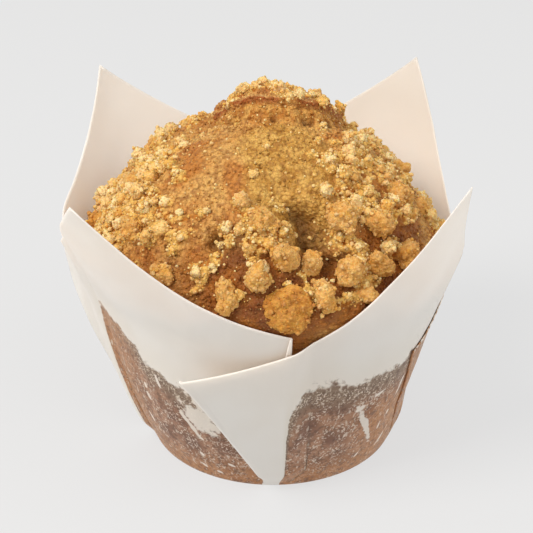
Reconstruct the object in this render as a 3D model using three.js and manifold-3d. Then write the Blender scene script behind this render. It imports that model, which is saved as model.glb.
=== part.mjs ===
// A muffin with a crumble topping, standing in a folded paper wrapper.
// Millimetres, +Z up, origin in the middle of the flat base that the wrapper stands on.
// Azimuth is in degrees, counted from +X towards +Y; -90 is the front.
import * as THREE from "three";
import { mergeVertices } from "three/addons/utils/BufferGeometryUtils.js";
import Module from "manifold-3d";

const wasm = await Module();
wasm.setup();

// ---- driving dimensions -------------------------------------------------------------------

const BASE_RADIUS = 25; // the usual 50 mm foot of a standard muffin tin
const PAPER = 0.4; // the sheet as a solid; the real paper is thinner
const GAP = 0.3; // air kept between pieces that touch

// The wall of the wrapper: a steady slope, and a quick swelling just above the foot.
const WALL_SLOPE = 0.22;
const WALL_SWELL = 3.3;
const WALL_SWELL_HEIGHT = 11;
const WALL_SWELL_POWER = 1.2;
const LEFT_LEAN = 2.9; // the upper wall leans towards -X, more on that side
const RIGHT_LEAN = 0.9;
const LEAN_FROM = 30;
const LEAN_TO = 60;

// The four standing points of the sheet. The edge falls away from each tip on both sides:
// by at most `drop`, within about `reach` degrees. `flare` is how far the tip leans out.
const FLARE_START = 38;
const FLARE_SPREAD = 28;
const FLARE_POWER = 1.3;
const PETALS = [
  { tip: -42.7, tipZ: 67.6, flare: 4.4, ccw: { drop: 33, reach: 22 }, cw: { drop: 37, reach: 24 } },
  { tip: -133.4, tipZ: 66.0, flare: 6.0, ccw: { drop: 30, reach: 25 }, cw: { drop: 60, reach: 80 } },
  { tip: -221, tipZ: 67.1, flare: 3.0, ccw: { drop: 19, reach: 12 }, cw: { drop: 30, reach: 38 } },
  { tip: -311.5, tipZ: 67.8, flare: 3.6, ccw: { drop: 30, reach: 38 }, cw: { drop: 46, reach: 44 } },
];

// The four pleats between the points, all folded the same way round. `root` is the width of
// the flap just above the base, and `widening` what each mm of height adds to it. `stand` is
// how far the free flap stands off the wall: 1 is a flat flap that leaves it on its tangent.
// `pinch` is how far the layers press the soft wall in. `belly` is a bulge halfway up the flap.
const PLEATS = [
  { azimuth: -85.5, root: 2.5, widening: 0.44, stand: 1.5, pinch: 0.3 },
  { azimuth: -165, root: 2.5, widening: 0.44, stand: 1.4, pinch: 0, belly: 1.7 },
  { azimuth: -267, root: 2.5, widening: 0.44, stand: 1.2, pinch: 0.8 },
  { azimuth: -374, root: 4, widening: 0.33, stand: 0.15, pinch: 2.2 },
];
const PINCH_SPREAD = 24;
const PINCH_FROM = 1;
const PINCH_FULL = 14;
const PINCH_FADE = 24;
const PINCH_END = 44;
const LAYER_STEP = 0.8; // from one layer of a pleat to the next, middle to middle
const FLAP_TOP = 34; // height at which a flap's corner lies
const RAMP = 5; // the outer layer climbs over the inner fold within this arc
const FOLD_HEIGHT = 6; // above this height a pleat is fully folded
const FLAT_HALF_ANGLE = 5; // half the arc of the base edge that feeds one pleat

// The cake: it fills the wrapper's foot and swells to a dome above it.
const DOME_CENTRE = new THREE.Vector2(-1.5, -2);
const DOME_RADIUS = 36.2;
const DOME_BASE_Z = 36;
const DOME_HEIGHT = 35.7;
const DOME_POWER = 1.82; // 2 would be an ellipse; less is more pointed
const FOOT_TOP = 33;

// The crown: crust lifted off the top, with a steep lip towards the front.
const CROWN = { x: 2.5, y: 7, radius: 11.5, height: 3.2, lip: 2.5, fade: 14 };
// The splits in the crust, as ridgeless grooves along one azimuth on the dome.
const SPLITS = [
  { azimuth: -72, low: 21, high: 46, width: 2.4, depth: 3.2 },
  { azimuth: -103, low: 30, high: 40, width: 1.8, depth: 1.6 },
];
const SPLIT_FADE = 4; // degrees over which a split runs out at each end

// Soft swells and dents of the crust: `rise` is their height at the middle.
const SWELLS = [
  { azimuth: 150, elevation: 62, rise: -1.8, spread: 11 },
  { azimuth: -88, elevation: 44, rise: 1.0, spread: 8 },
  { azimuth: -130, elevation: 50, rise: 0.8, spread: 10 },
  { azimuth: 20, elevation: 45, rise: 0.7, spread: 12 },
  { azimuth: 95, elevation: 48, rise: 0.9, spread: 11 },
];

// The large lumps of crumble: place on the dome (azimuth, elevation), length, width and
// height above the crust, and how the length is turned from the upward direction.
const LUMPS = [
  { azimuth: -83, elevation: 16, size: [9.6, 9.6, 1.8], turn: 0 },
  { azimuth: -92, elevation: 25.5, size: [5.6, 4.8, 3.6], turn: 0 },
  { azimuth: -101, elevation: 19, size: [7.0, 4.0, 3.0], turn: 10 },
  { azimuth: -83.5, elevation: 31, size: [4.8, 4.8, 3.0], turn: 0 },
  { azimuth: -75, elevation: 28, size: [5.0, 4.2, 3.0], turn: 0 },
  { azimuth: -71.5, elevation: 18, size: [6.6, 3.2, 2.6], turn: 20 },
  { azimuth: -62.5, elevation: 24, size: [5.4, 4.8, 3.4], turn: 80 },
  { azimuth: -58, elevation: 17, size: [4.2, 3.6, 2.6], turn: 0 },
  { azimuth: -51, elevation: 24, size: [5.2, 4.4, 3.2], turn: 30 },
  { azimuth: -45, elevation: 34, size: [6.4, 4.6, 3.4], turn: 50 },
  { azimuth: -60, elevation: 40, size: [6.8, 5.0, 3.2], turn: 20 },
  { azimuth: -92, elevation: 41, size: [8.2, 6.4, 3.0], turn: 70 },
  { azimuth: -38, elevation: 22, size: [5.6, 4.6, 3.2], turn: 0 },
  { azimuth: -24, elevation: 38, size: [5.4, 4.4, 3.0], turn: 40 },
  { azimuth: -8, elevation: 26, size: [5.6, 4.6, 2.2], turn: 15 },
  { azimuth: 14, elevation: 34, size: [5.2, 4.4, 2.2], turn: 70 },
  { azimuth: 34, elevation: 24, size: [6.2, 4.8, 2.4], turn: 25 },
  { azimuth: 58, elevation: 38, size: [5.8, 4.6, 3.2], turn: 100 },
  { azimuth: 78, elevation: 22, size: [6.8, 5.2, 3.0], turn: 0 },
  { azimuth: 102, elevation: 34, size: [5.6, 4.8, 3.0], turn: 45 },
  { azimuth: 126, elevation: 22, size: [6.2, 4.4, 3.2], turn: 80 },
  { azimuth: 148, elevation: 38, size: [5.4, 4.6, 1.9], turn: 20 },
  { azimuth: -172, elevation: 22, size: [4.4, 3.4, 3.2], turn: 0 },
  { azimuth: -168, elevation: 40, size: [5.4, 4.4, 2.8], turn: 35 },
  { azimuth: -142, elevation: 30, size: [5.2, 4.2, 2.8], turn: 60 },
  { azimuth: -124, elevation: 22, size: [4.6, 3.6, 2.6], turn: 110 },
];
const LUMP_ROUGHNESS = 0.06; // share of its radius that a lump's corners move in or out
const LUMP_WAVES = [5, 6, 7]; // waves of that roughness along X, Y and Z

// Steps of the meshes.
const WALL_ROWS = 12;
const HALF_PETAL_COLUMNS = 6;
const RAMP_COLUMNS = 2;
const FLAP_COLUMNS = 3;
const RETURN_STOPS = [1, 2 / 3, 1 / 3, 0.06, 0]; // shares of the flap's width on the way back
const BELLY_HEIGHT = 27;
const BELLY_SPREAD = 9;
const RETURN_TUCK = 0.5; // the layer on the way back ends this far below the outer layer's edge
const CAKE_COLUMNS = 56;
const FOOT_ROWS = 5;
const DOME_ROWS = 16;

// ---- small helpers --------------------------------------------------------------------------

const radians = THREE.MathUtils.degToRad;
const degrees = THREE.MathUtils.radToDeg;
const smooth = (value, low, high) => THREE.MathUtils.smoothstep(value, low, high);
const turnFrom = (azimuth, other) => THREE.MathUtils.euclideanModulo(azimuth - other + 180, 360) - 180;

function closedGeometry(points, triangles) {
  const geometry = new THREE.BufferGeometry();
  const numbers = points.flatMap((point) => point.toArray());
  geometry.setAttribute("position", new THREE.Float32BufferAttribute(numbers, 3));
  geometry.setIndex(triangles.flat());
  return geometry;
}

function solidOf(geometry) {
  const bare = geometry.clone();
  bare.deleteAttribute("normal");
  bare.deleteAttribute("uv");
  const merged = mergeVertices(bare);
  return new wasm.Manifold(new wasm.Mesh({
    numProp: 3,
    vertProperties: new Float32Array(merged.attributes.position.array),
    triVerts: new Uint32Array(merged.index.array),
  }));
}

function geometryOf(solid) {
  const mesh = solid.getMesh();
  const geometry = new THREE.BufferGeometry();
  geometry.setAttribute("position", new THREE.BufferAttribute(mesh.vertProperties, mesh.numProp));
  geometry.setIndex(new THREE.BufferAttribute(mesh.triVerts, 1));
  return geometry;
}

function named(name, geometry, finish) {
  const faceted = geometry.toNonIndexed();
  faceted.computeVertexNormals();
  const mesh = new THREE.Mesh(faceted, new THREE.MeshStandardMaterial(finish));
  mesh.name = name;
  return mesh;
}

// ---- the wrapper --------------------------------------------------------------------------

// Radius of the wall, at the middle of the paper.
function wallRadius(azimuth, z) {
  const swell = WALL_SWELL * (1 - Math.exp(-((Math.max(z, 0) / WALL_SWELL_HEIGHT) ** WALL_SWELL_POWER)));
  const sideways = Math.cos(radians(azimuth));
  const lean = (sideways < 0 ? LEFT_LEAN : RIGHT_LEAN) * smooth(z, LEAN_FROM, LEAN_TO) * sideways;
  let radius = BASE_RADIUS + WALL_SLOPE * z + swell - lean;
  for (const petal of PETALS) {
    const rise = Math.max(z - FLARE_START, 0) / (petal.tipZ - FLARE_START);
    const nearness = Math.exp(-((turnFrom(azimuth, petal.tip) / FLARE_SPREAD) ** 2));
    radius += petal.flare * rise ** FLARE_POWER * nearness;
  }
  const pressed = smooth(z, PINCH_FROM, PINCH_FULL) * (1 - smooth(z, PINCH_FADE, PINCH_END));
  for (const pleat of PLEATS) {
    const nearness = Math.exp(-((turnFrom(azimuth, pleat.azimuth) / PINCH_SPREAD) ** 2));
    radius -= pleat.pinch * pressed * nearness;
  }
  return radius;
}

// Height of the sheet's edge, on a petal.
function edgeHeight(petal, azimuth) {
  const turn = azimuth - petal.tip;
  const side = turn > 0 ? petal.ccw : petal.cw;
  return petal.tipZ - side.drop * (1 - Math.exp(-Math.abs(turn) / side.reach));
}

const flapWidth = (pleat, z) => pleat.root + pleat.widening * z;
const azimuthAcross = (pleat, z, arc) => pleat.azimuth - degrees(arc / wallRadius(pleat.azimuth, z));
const flapLift = (pleat, z, arc) => {
  const bend = (pleat.stand * Math.max(arc, 0) ** 2) / (2 * wallRadius(pleat.azimuth, z));
  const belly = (pleat.belly ?? 0) * Math.exp(-(((z - BELLY_HEIGHT) / BELLY_SPREAD) ** 2));
  return 2 * LAYER_STEP + bend + belly * smooth(arc, 0, RAMP);
};

// One column of the sheet, from the base edge to the free edge. `flat` is its azimuth on the
// base edge, `place(z)` gives azimuth and lift off the wall where the sheet is folded.
function bodyColumns(petal, before, after) {
  const start = before.azimuth;
  const end = after.azimuth + degrees(RAMP / wallRadius(after.azimuth, FLAP_TOP));
  const [flatStart, flatEnd] = [start - FLAT_HALF_ANGLE, after.azimuth + FLAT_HALF_ANGLE];
  const stops = [start];
  for (let i = 1; i <= HALF_PETAL_COLUMNS; i++) {
    stops.push(THREE.MathUtils.lerp(start, petal.tip, i / HALF_PETAL_COLUMNS));
  }
  for (let i = 1; i <= HALF_PETAL_COLUMNS; i++) {
    stops.push(THREE.MathUtils.lerp(petal.tip, end, i / HALF_PETAL_COLUMNS));
  }
  return stops.map((azimuth) => ({
    flat: THREE.MathUtils.mapLinear(azimuth, start, end, flatStart, flatEnd),
    place: () => [azimuth, 0],
    top: edgeHeight(petal, azimuth),
  }));
}

function pleatColumns(petal, pleat, next) {
  const columns = [];
  const topAt = (arc) => edgeHeight(petal, azimuthAcross(pleat, FLAP_TOP, arc));
  const outerTop = topAt(flapWidth(pleat, FLAP_TOP));
  const innerTop = edgeHeight(next, pleat.azimuth);
  for (let i = 1; i <= RAMP_COLUMNS; i++) {
    const climbed = i / RAMP_COLUMNS;
    const arc = -LAYER_STEP - (RAMP - LAYER_STEP) * (1 - climbed);
    columns.push({
      place: (z) => [azimuthAcross(pleat, z, arc), 2 * LAYER_STEP * smooth(climbed, 0, 1)],
      top: topAt(arc),
    });
  }
  for (let i = 1; i <= FLAP_COLUMNS; i++) {
    const share = i / FLAP_COLUMNS;
    columns.push({
      place: (z) => {
        const arc = share * flapWidth(pleat, z);
        return [azimuthAcross(pleat, z, arc), flapLift(pleat, z, arc)];
      },
      top: topAt(share * flapWidth(pleat, FLAP_TOP)),
    });
  }
  columns.push({
    place: (z) => {
      const arc = flapWidth(pleat, z);
      return [azimuthAcross(pleat, z, arc + LAYER_STEP / 2), flapLift(pleat, z, arc) - LAYER_STEP / 2];
    },
    top: outerTop,
  });
  for (const share of RETURN_STOPS) {
    const tucked = topAt(share * flapWidth(pleat, FLAP_TOP)) - RETURN_TUCK;
    const straight = THREE.MathUtils.lerp(innerTop, outerTop, share);
    columns.push({
      place: (z) => {
        const arc = share * flapWidth(pleat, z);
        return [azimuthAcross(pleat, z, arc), flapLift(pleat, z, arc) - LAYER_STEP];
      },
      top: share > 0 ? Math.min(straight, tucked) : innerTop,
    });
  }
  columns.push({
    place: (z) => [azimuthAcross(pleat, z, -LAYER_STEP / 2), LAYER_STEP / 2],
    top: innerTop,
  });
  columns.forEach((column, i) => {
    const share = (i + 1) / (columns.length + 1);
    column.flat = pleat.azimuth + FLAT_HALF_ANGLE * (1 - 2 * share);
  });
  return columns;
}

function sheetColumns() {
  const columns = [];
  PETALS.forEach((petal, i) => {
    const before = PLEATS[(i + PLEATS.length - 1) % PLEATS.length];
    const start = i === 0 ? { azimuth: before.azimuth + 360 } : before;
    const next = PETALS[(i + 1) % PETALS.length];
    const following = i === PETALS.length - 1 ? { ...next, tip: next.tip - 360 } : next;
    columns.push(...bodyColumns(petal, start, PLEATS[i]));
    columns.push(...pleatColumns(petal, PLEATS[i], following));
  });
  return columns;
}

function sheetPoint(column, share) {
  const z = column.top * share;
  const folded = smooth(z, 0, FOLD_HEIGHT);
  const [azimuth, lift] = column.place(z);
  const turned = radians(THREE.MathUtils.lerp(column.flat, azimuth, folded));
  const radius = wallRadius(degrees(turned), z) + lift * folded;
  return new THREE.Vector3(radius * Math.cos(turned), radius * Math.sin(turned), z);
}

// The sheet with its thickness: an outer and an inner skin, joined along the free edge and
// closed by the flat round floor.
function wrapperGeometry() {
  const columns = sheetColumns();
  const middle = columns.map((column) =>
    Array.from({ length: WALL_ROWS + 1 }, (_, row) => sheetPoint(column, row / WALL_ROWS)));
  const outer = [];
  const inner = [];
  const count = columns.length;
  for (let i = 0; i < count; i++) {
    for (let row = 0; row <= WALL_ROWS; row++) {
      const point = middle[i][row];
      const along = middle[(i + 1) % count][row].clone().sub(middle[(i + count - 1) % count][row]);
      const up = middle[i][Math.min(row + 1, WALL_ROWS)].clone().sub(middle[i][Math.max(row - 1, 0)]);
      const normal = up.cross(along).normalize().multiplyScalar(PAPER / 2);
      if (row === 0) {
        normal.set(point.x, point.y, 0).setLength(PAPER / 2);
      }
      outer.push(point.clone().add(normal));
      inner.push(point.clone().sub(normal).setZ(row === 0 ? PAPER : point.z - normal.z));
    }
  }
  const rows = WALL_ROWS + 1;
  const skin = outer.length;
  const at = (i, row) => (i % count) * rows + row;
  const triangles = [];
  for (let i = 0; i < count; i++) {
    for (let row = 0; row < WALL_ROWS; row++) {
      const [a, b, c, d] = [at(i, row), at(i + 1, row), at(i + 1, row + 1), at(i, row + 1)];
      triangles.push([a, c, b], [a, d, c]);
      triangles.push([skin + a, skin + b, skin + c], [skin + a, skin + c, skin + d]);
    }
    const [edge, nextEdge] = [at(i, WALL_ROWS), at(i + 1, WALL_ROWS)];
    triangles.push([edge, skin + edge, skin + nextEdge], [edge, skin + nextEdge, nextEdge]);
  }
  for (let i = 1; i < count - 1; i++) {
    triangles.push([at(0, 0), at(i, 0), at(i + 1, 0)]);
    triangles.push([skin + at(0, 0), skin + at(i + 1, 0), skin + at(i, 0)]);
  }
  return closedGeometry([...outer, ...inner], triangles);
}

// ---- the cake -----------------------------------------------------------------------------

// A point of the crust, and the direction that it faces, at an azimuth and a steepness from
// 0 at the widest ring to 90 at the top.
function crustPoint(azimuth, steepness, grow) {
  const turned = radians(azimuth);
  const rise = radians(steepness);
  const power = 2 / DOME_POWER;
  const radius = DOME_RADIUS * Math.cos(rise) ** power;
  let z = DOME_BASE_Z + DOME_HEIGHT * Math.sin(rise) ** power;
  const level = new THREE.Vector2(Math.cos(turned), Math.sin(turned)).multiplyScalar(radius);
  const point = level.add(DOME_CENTRE);
  z += crownHeight(point);
  let sunk = 0;
  const elevation = degrees(Math.atan2(z - DOME_BASE_Z, radius));
  for (const split of SPLITS) {
    const across = radians(turnFrom(azimuth, split.azimuth)) * radius;
    const begun = smooth(elevation, split.low - SPLIT_FADE, split.low + SPLIT_FADE);
    const left = 1 - smooth(elevation, split.high - SPLIT_FADE, split.high + SPLIT_FADE);
    const along = begun * left;
    sunk += split.depth * along * Math.exp(-((across / split.width) ** 2));
  }
  const out = new THREE.Vector3(point.x, point.y, z - DOME_BASE_Z);
  const distance = out.length();
  out.normalize();
  for (const swell of SWELLS) {
    const away = distance * out.angleTo(towards(swell.azimuth, swell.elevation));
    sunk -= swell.rise * Math.exp(-((away / swell.spread) ** 2));
  }
  return new THREE.Vector3(point.x, point.y, z).addScaledVector(out, grow - sunk);
}

// The unit direction at an azimuth and an elevation.
function towards(azimuth, elevation) {
  const level = Math.cos(radians(elevation));
  return new THREE.Vector3(
    level * Math.cos(radians(azimuth)),
    level * Math.sin(radians(azimuth)),
    Math.sin(radians(elevation)),
  );
}

function crownHeight(point) {
  const inside = CROWN.radius - Math.hypot(point.x - CROWN.x, point.y - CROWN.y);
  const back = 1 - smooth(point.y, CROWN.y, CROWN.y + CROWN.fade);
  return CROWN.height * smooth(inside, -CROWN.lip / 2, CROWN.lip / 2) * back;
}

// Keeps a point of the cake inside the wrapper.
function insideWrapper(point, grow) {
  const azimuth = degrees(Math.atan2(point.y, point.x));
  const clear = PAPER + GAP;
  const room = wallRadius(azimuth, point.z) - clear + grow;
  const radius = Math.hypot(point.x, point.y);
  const scale = Math.min(1, room / Math.max(radius, GAP));
  return new THREE.Vector3(point.x * scale, point.y * scale, point.z);
}

function cakeGeometry(grow) {
  const rings = [];
  const floorZ = PAPER + GAP;
  for (let row = 0; row <= FOOT_ROWS; row++) {
    const z = THREE.MathUtils.lerp(floorZ, FOOT_TOP, row / FOOT_ROWS);
    rings.push((azimuth) => {
      const turned = radians(azimuth);
      const far = 2 * DOME_RADIUS;
      return insideWrapper(new THREE.Vector3(far * Math.cos(turned), far * Math.sin(turned), z), grow);
    });
  }
  for (let row = 0; row < DOME_ROWS; row++) {
    const steepness = (90 * row) / DOME_ROWS;
    rings.push((azimuth) => insideWrapper(crustPoint(azimuth, steepness, grow), grow));
  }
  const points = rings.flatMap((ring) =>
    Array.from({ length: CAKE_COLUMNS }, (_, i) => ring((360 * i) / CAKE_COLUMNS)));
  points.push(new THREE.Vector3(0, 0, floorZ), crustPoint(0, 90, grow));
  const [bottom, top] = [points.length - 2, points.length - 1];
  const at = (ring, i) => ring * CAKE_COLUMNS + (i % CAKE_COLUMNS);
  const triangles = [];
  for (let i = 0; i < CAKE_COLUMNS; i++) {
    triangles.push([bottom, at(0, i + 1), at(0, i)]);
    triangles.push([at(rings.length - 1, i), at(rings.length - 1, i + 1), top]);
    for (let ring = 0; ring < rings.length - 1; ring++) {
      const [a, b, c, d] = [at(ring, i), at(ring, i + 1), at(ring + 1, i + 1), at(ring + 1, i)];
      triangles.push([a, b, c], [a, c, d]);
    }
  }
  return closedGeometry(points, triangles);
}

// ---- the lumps of crumble -----------------------------------------------------------------

// A rough pebble: a ball whose corners are moved in and out by a fixed rule.
function lumpGeometry(lump, seed) {
  const ball = new THREE.IcosahedronGeometry(1, 1);
  const corners = ball.attributes.position;
  const corner = new THREE.Vector3();
  for (let i = 0; i < corners.count; i++) {
    corner.fromBufferAttribute(corners, i);
    const phase = [seed, 2 * seed, 3 * seed];
    const waves = LUMP_WAVES.map((wave, axis) => Math.sin(wave * corner.getComponent(axis) + phase[axis]));
    corner.multiplyScalar(1 + LUMP_ROUGHNESS * (waves[0] + waves[1] + waves[2]));
    corners.setXYZ(i, corner.x, corner.y, corner.z);
  }
  const [length, width, height] = lump.size;
  ball.scale(width / 2, length / 2, height);
  const seat = crustPoint(lump.azimuth, steepnessAt(lump), 0);
  const out = new THREE.Vector3(seat.x, seat.y, seat.z - DOME_BASE_Z).normalize();
  const side = new THREE.Vector3(-out.y, out.x, 0).normalize();
  const up = out.clone().cross(side);
  const frame = new THREE.Matrix4().makeBasis(side, up, out);
  ball.rotateZ(radians(lump.turn));
  ball.applyMatrix4(frame);
  ball.translate(seat.x, seat.y, seat.z);
  return ball;
}

// The steepness whose crust point is seen at the lump's elevation from the dome's middle.
function steepnessAt(lump) {
  const slope = (Math.tan(radians(lump.elevation)) * DOME_RADIUS) / DOME_HEIGHT;
  return degrees(Math.atan(slope ** (DOME_POWER / 2)));
}

// ---- assembly -----------------------------------------------------------------------------

const muffin = new THREE.Group();
muffin.add(named("tulip_wrapper", wrapperGeometry(), { color: 0xe2d8cc, roughness: 0.75, metalness: 0 }));
muffin.add(named("muffin_cake", cakeGeometry(0), { color: 0xb87a3a, roughness: 0.8, metalness: 0 }));

const clearOfCake = solidOf(cakeGeometry(GAP));
LUMPS.forEach((lump, i) => {
  const solid = solidOf(lumpGeometry(lump, i)).subtract(clearOfCake);
  const name = `streusel_lump_${String(i + 1).padStart(2, "0")}`;
  muffin.add(named(name, geometryOf(solid), { color: 0xe0b862, roughness: 0.9, metalness: 0 }));
});

export default muffin;
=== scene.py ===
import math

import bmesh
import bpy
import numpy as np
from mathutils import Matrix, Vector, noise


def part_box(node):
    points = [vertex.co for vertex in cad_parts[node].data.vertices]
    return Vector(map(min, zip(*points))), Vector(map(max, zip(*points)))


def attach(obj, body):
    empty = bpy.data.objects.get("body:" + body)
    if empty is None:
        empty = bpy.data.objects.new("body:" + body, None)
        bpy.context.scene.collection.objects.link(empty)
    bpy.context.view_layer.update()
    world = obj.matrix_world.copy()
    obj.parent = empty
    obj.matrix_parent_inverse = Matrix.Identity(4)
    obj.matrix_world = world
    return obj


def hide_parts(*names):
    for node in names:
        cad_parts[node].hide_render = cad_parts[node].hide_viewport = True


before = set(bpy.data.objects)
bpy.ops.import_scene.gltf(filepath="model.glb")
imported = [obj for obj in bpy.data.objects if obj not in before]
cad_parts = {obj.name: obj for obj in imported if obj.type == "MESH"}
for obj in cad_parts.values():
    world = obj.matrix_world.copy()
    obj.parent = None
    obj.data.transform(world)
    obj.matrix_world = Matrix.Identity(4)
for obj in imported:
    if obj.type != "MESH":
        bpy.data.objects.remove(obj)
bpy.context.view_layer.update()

# %% [markdown]
# # A crumble-topped muffin in a folded paper wrapper
#
# A muffin is baked in a square of greaseproof paper that was pushed into the tin and
# pleated four times. The batter rises past the tin, splits on top, and carries a layer of
# butter crumble. This lesson builds it in the order a baker would meet it: the paper, the
# cake with its crust, the large lumps of crumble, and then the thousands of small crumbs.
#
# The solid model gives the place and size of every piece. We keep the top of the cake's
# box before anything is hidden, so that the finished dome can be kept below it.

MM = 0.001
cake_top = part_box("muffin_cake")[1].z / MM

# %% [markdown]
# ## Small helpers
#
# Colours are chosen as the eye sees them, in sRGB hex, and a renderer mixes light in linear
# values, so one function turns the first into the second. Every node tree in this file,
# for materials and for geometry, is built with one other helper: it adds a node, sets its
# options, and either links each given input or gives it a value.


# %% Colour and node helpers
def paint(text):
    """The linear RGBA of an sRGB hex colour."""
    parts = [int(text[i:i + 2], 16) / 255 for i in (1, 3, 5)]
    linear = [p / 12.92 if p <= 0.04045 else ((p + 0.055) / 1.055) ** 2.4 for p in parts]
    return (*linear, 1.0)


def add(tree, kind, inputs=None, **options):
    """Adds a node to a tree, with its options, and links or sets its inputs. These are
    given by name or number, or as a list in the node's own order."""
    node = tree.nodes.new(kind)
    for option, value in options.items():
        setattr(node, option, value)
    given = enumerate(inputs) if isinstance(inputs, list) else (inputs or {}).items()
    for name, value in given:
        if isinstance(value, bpy.types.NodeSocket):
            tree.links.new(value, node.inputs[name])
        else:
            node.inputs[name].default_value = value
    return node


# %% [markdown]
# ## Fields of noise
#
# Dough, crumbs and paper are irregular in the same way: a bump of a known width, repeated
# without repeating. Blender's noise module gives such values at a point, and we only choose
# how wide a bump is, in millimetres. `bumps` is smooth rolling noise, and `layered` adds
# several widths of it. `cells` is the distance to the nearest of many scattered seeds, which
# makes round granules and pores.


# %% Noise fields
def bumps(points, width, seed=0.0):
    """Smooth noise from about -1 to 1 at each point, in bumps `width` mm across."""
    shift = Vector((seed, 2 * seed, 3 * seed))
    return np.array([noise.noise(Vector(p) / width + shift) for p in points])


def layered(points, waves):
    """The sum of several bumps, each given by its height, width and seed."""
    return sum(height * bumps(points, width, seed) for height, width, seed in waves)


CELL_REACH = 0.7


def cells(points, width, seed=0.0):
    """0 at the middle of each of many cells about `width` mm across, and about 1 between them."""
    shift = Vector((seed, 2 * seed, 3 * seed))
    nearest = [noise.voronoi(Vector(p) / width + shift)[0][0] for p in points]
    return np.minimum(np.array(nearest) / CELL_REACH, 1.0)


def granules(points, width, seed=0.0):
    """The height of round grains about `width` mm across: 1 on top of each and 0 between them."""
    return np.sqrt(1 - cells(points, width, seed) ** 2)


# %% [markdown]
# ## Steps, angles and meshes
#
# Nothing baked has a hard border, so where one surface gives way to another we use a smooth
# step. A second helper measures turns round the muffin, and a third makes a mesh object
# from points and faces, with one attribute for each field that its finish will read.


# %% Smooth steps, angles and meshes
def smooth(value, low, high):
    """0 below low, 1 above high, and a smooth step between them."""
    share = np.clip((np.asarray(value, float) - low) / (high - low), 0, 1)
    return share * share * (3 - 2 * share)


def ridge(value, middle, width):
    """1 at the middle, fading like a bell on both sides."""
    return np.exp(-(((value - middle) / width) ** 2))


def turn_from(azimuth, other):
    """How far azimuth is from another one, from -180 to 180 degrees."""
    return (azimuth - other + 180) % 360 - 180


def mesh_piece(name, points_mm, faces, **fields):
    """A smooth-shaded mesh object from points in mm, with one float attribute for each field."""
    mesh = bpy.data.meshes.new(name)
    mesh.from_pydata((np.asarray(points_mm) * MM).tolist(), [], [tuple(f) for f in faces])
    mesh.shade_smooth()
    for field, values in fields.items():
        layer = mesh.attributes.new(field, "FLOAT", "POINT")
        layer.data.foreach_set("value", np.asarray(values, np.float32))
    piece = bpy.data.objects.new(name, mesh)
    bpy.context.scene.collection.objects.link(piece)
    return piece


# %% [markdown]
# ## Camera
#
# The view looks down on the muffin from its front, about as a person standing at a table
# would. A long lens from close by keeps the foot a little smaller than the spread of the
# paper. Depth of field stays off.

# %% Camera
VIEW_ELEVATION = 27.4
VIEW_DISTANCE = 300 * MM
AIM = Vector((-1.24, 0.0, 35.6)) * MM
LENS = 100.5
SENSOR = 36
NEAREST = 10 * MM

elevation = math.radians(VIEW_ELEVATION)
camera = bpy.data.objects.new("camera", bpy.data.cameras.new("camera"))
camera.data.lens = LENS
camera.data.sensor_width = SENSOR
back = Vector((0, -math.cos(elevation), math.sin(elevation)))
camera.location = AIM + back * VIEW_DISTANCE
camera.rotation_mode = "QUATERNION"
camera.rotation_quaternion = (-back).to_track_quat("-Z", "Y")
camera.data.clip_start = NEAREST
bpy.context.scene.collection.objects.link(camera)
bpy.context.scene.camera = camera
print("camera at, mm:", [round(x / MM, 1) for x in camera.location])

# %% [markdown]
# ## Floor
#
# Food is often shown on a light table: a pale translucent plate lit from below, so that
# the floor stays even and takes only a faint shadow where the paper touches it. We copy
# that with a floor that glows by itself for most of its brightness and takes the rest from
# the lamps.

# %% Floor
BACKDROP = paint("#eaeaea")
FLOOR_PAINT = paint("#6c6c6c")
FLOOR_GLOW = 0.775
FLOOR_SIZE = 3.0

# A dull plate that shines evenly: the eye reads it as a clean pale ground.
floor_paint = bpy.data.materials.new("light_table")
floor_paint.use_nodes = True
tree = floor_paint.node_tree
tree.nodes.clear()
surface = add(tree, "ShaderNodeBsdfPrincipled", {
    "Base Color": FLOOR_PAINT,
    "Roughness": 1.0,
    "Specular IOR Level": 0.0,
    "Emission Color": BACKDROP,
    "Emission Strength": FLOOR_GLOW,
})
add(tree, "ShaderNodeOutputMaterial", {"Surface": surface.outputs[0]})
bpy.ops.mesh.primitive_plane_add(size=FLOOR_SIZE)
floor = bpy.context.object
floor.name = "floor"
floor.data.materials.append(floor_paint)

# %% [markdown]
# ## Sky and lamps
#
# The sky around is plain and pale. The camera sees it at full strength, so that it matches
# the floor, but it lights the muffin less, because paper needs some shade to show its
# folds. A wide soft key light stands on the left in front, and a weaker fill on the right.

# %% Sky and lamps
SKY_STRENGTH = 0.66
# Each lamp: name, place and side in metres, power in watts, tint.
LAMPS = [
    ("key_light", (-0.50, -0.34, 0.74), 0.42, 6.4, "#fffaf4"),
    ("fill_light", (0.60, -0.35, 0.70), 0.80, 2.6, "#ffffff"),
]

world = bpy.data.worlds.new("pale_studio")
bpy.context.scene.world = world
world.use_nodes = True
tree = world.node_tree
tree.nodes.clear()
around = add(tree, "ShaderNodeBackground", {"Color": BACKDROP, "Strength": SKY_STRENGTH})
seen = add(tree, "ShaderNodeBackground", {"Color": BACKDROP, "Strength": 1.0})
rays = add(tree, "ShaderNodeLightPath")
sky = add(tree, "ShaderNodeMixShader", [
    rays.outputs["Is Camera Ray"], around.outputs[0], seen.outputs[0]])
add(tree, "ShaderNodeOutputWorld", {"Surface": sky.outputs[0]})

for name, place, side, watts, tint in LAMPS:
    lamp = bpy.data.objects.new(name, bpy.data.lights.new(name, "AREA"))
    lamp.data.size = side
    lamp.data.energy = watts
    lamp.data.color = paint(tint)[:3]
    lamp.location = place
    lamp.rotation_mode = "QUATERNION"
    lamp.rotation_quaternion = (Vector(place) - AIM).to_track_quat("Z", "Y")
    bpy.context.scene.collection.objects.link(lamp)
bpy.context.scene.view_settings.view_transform = "Standard"
print("lamps:", len(LAMPS))

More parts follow.
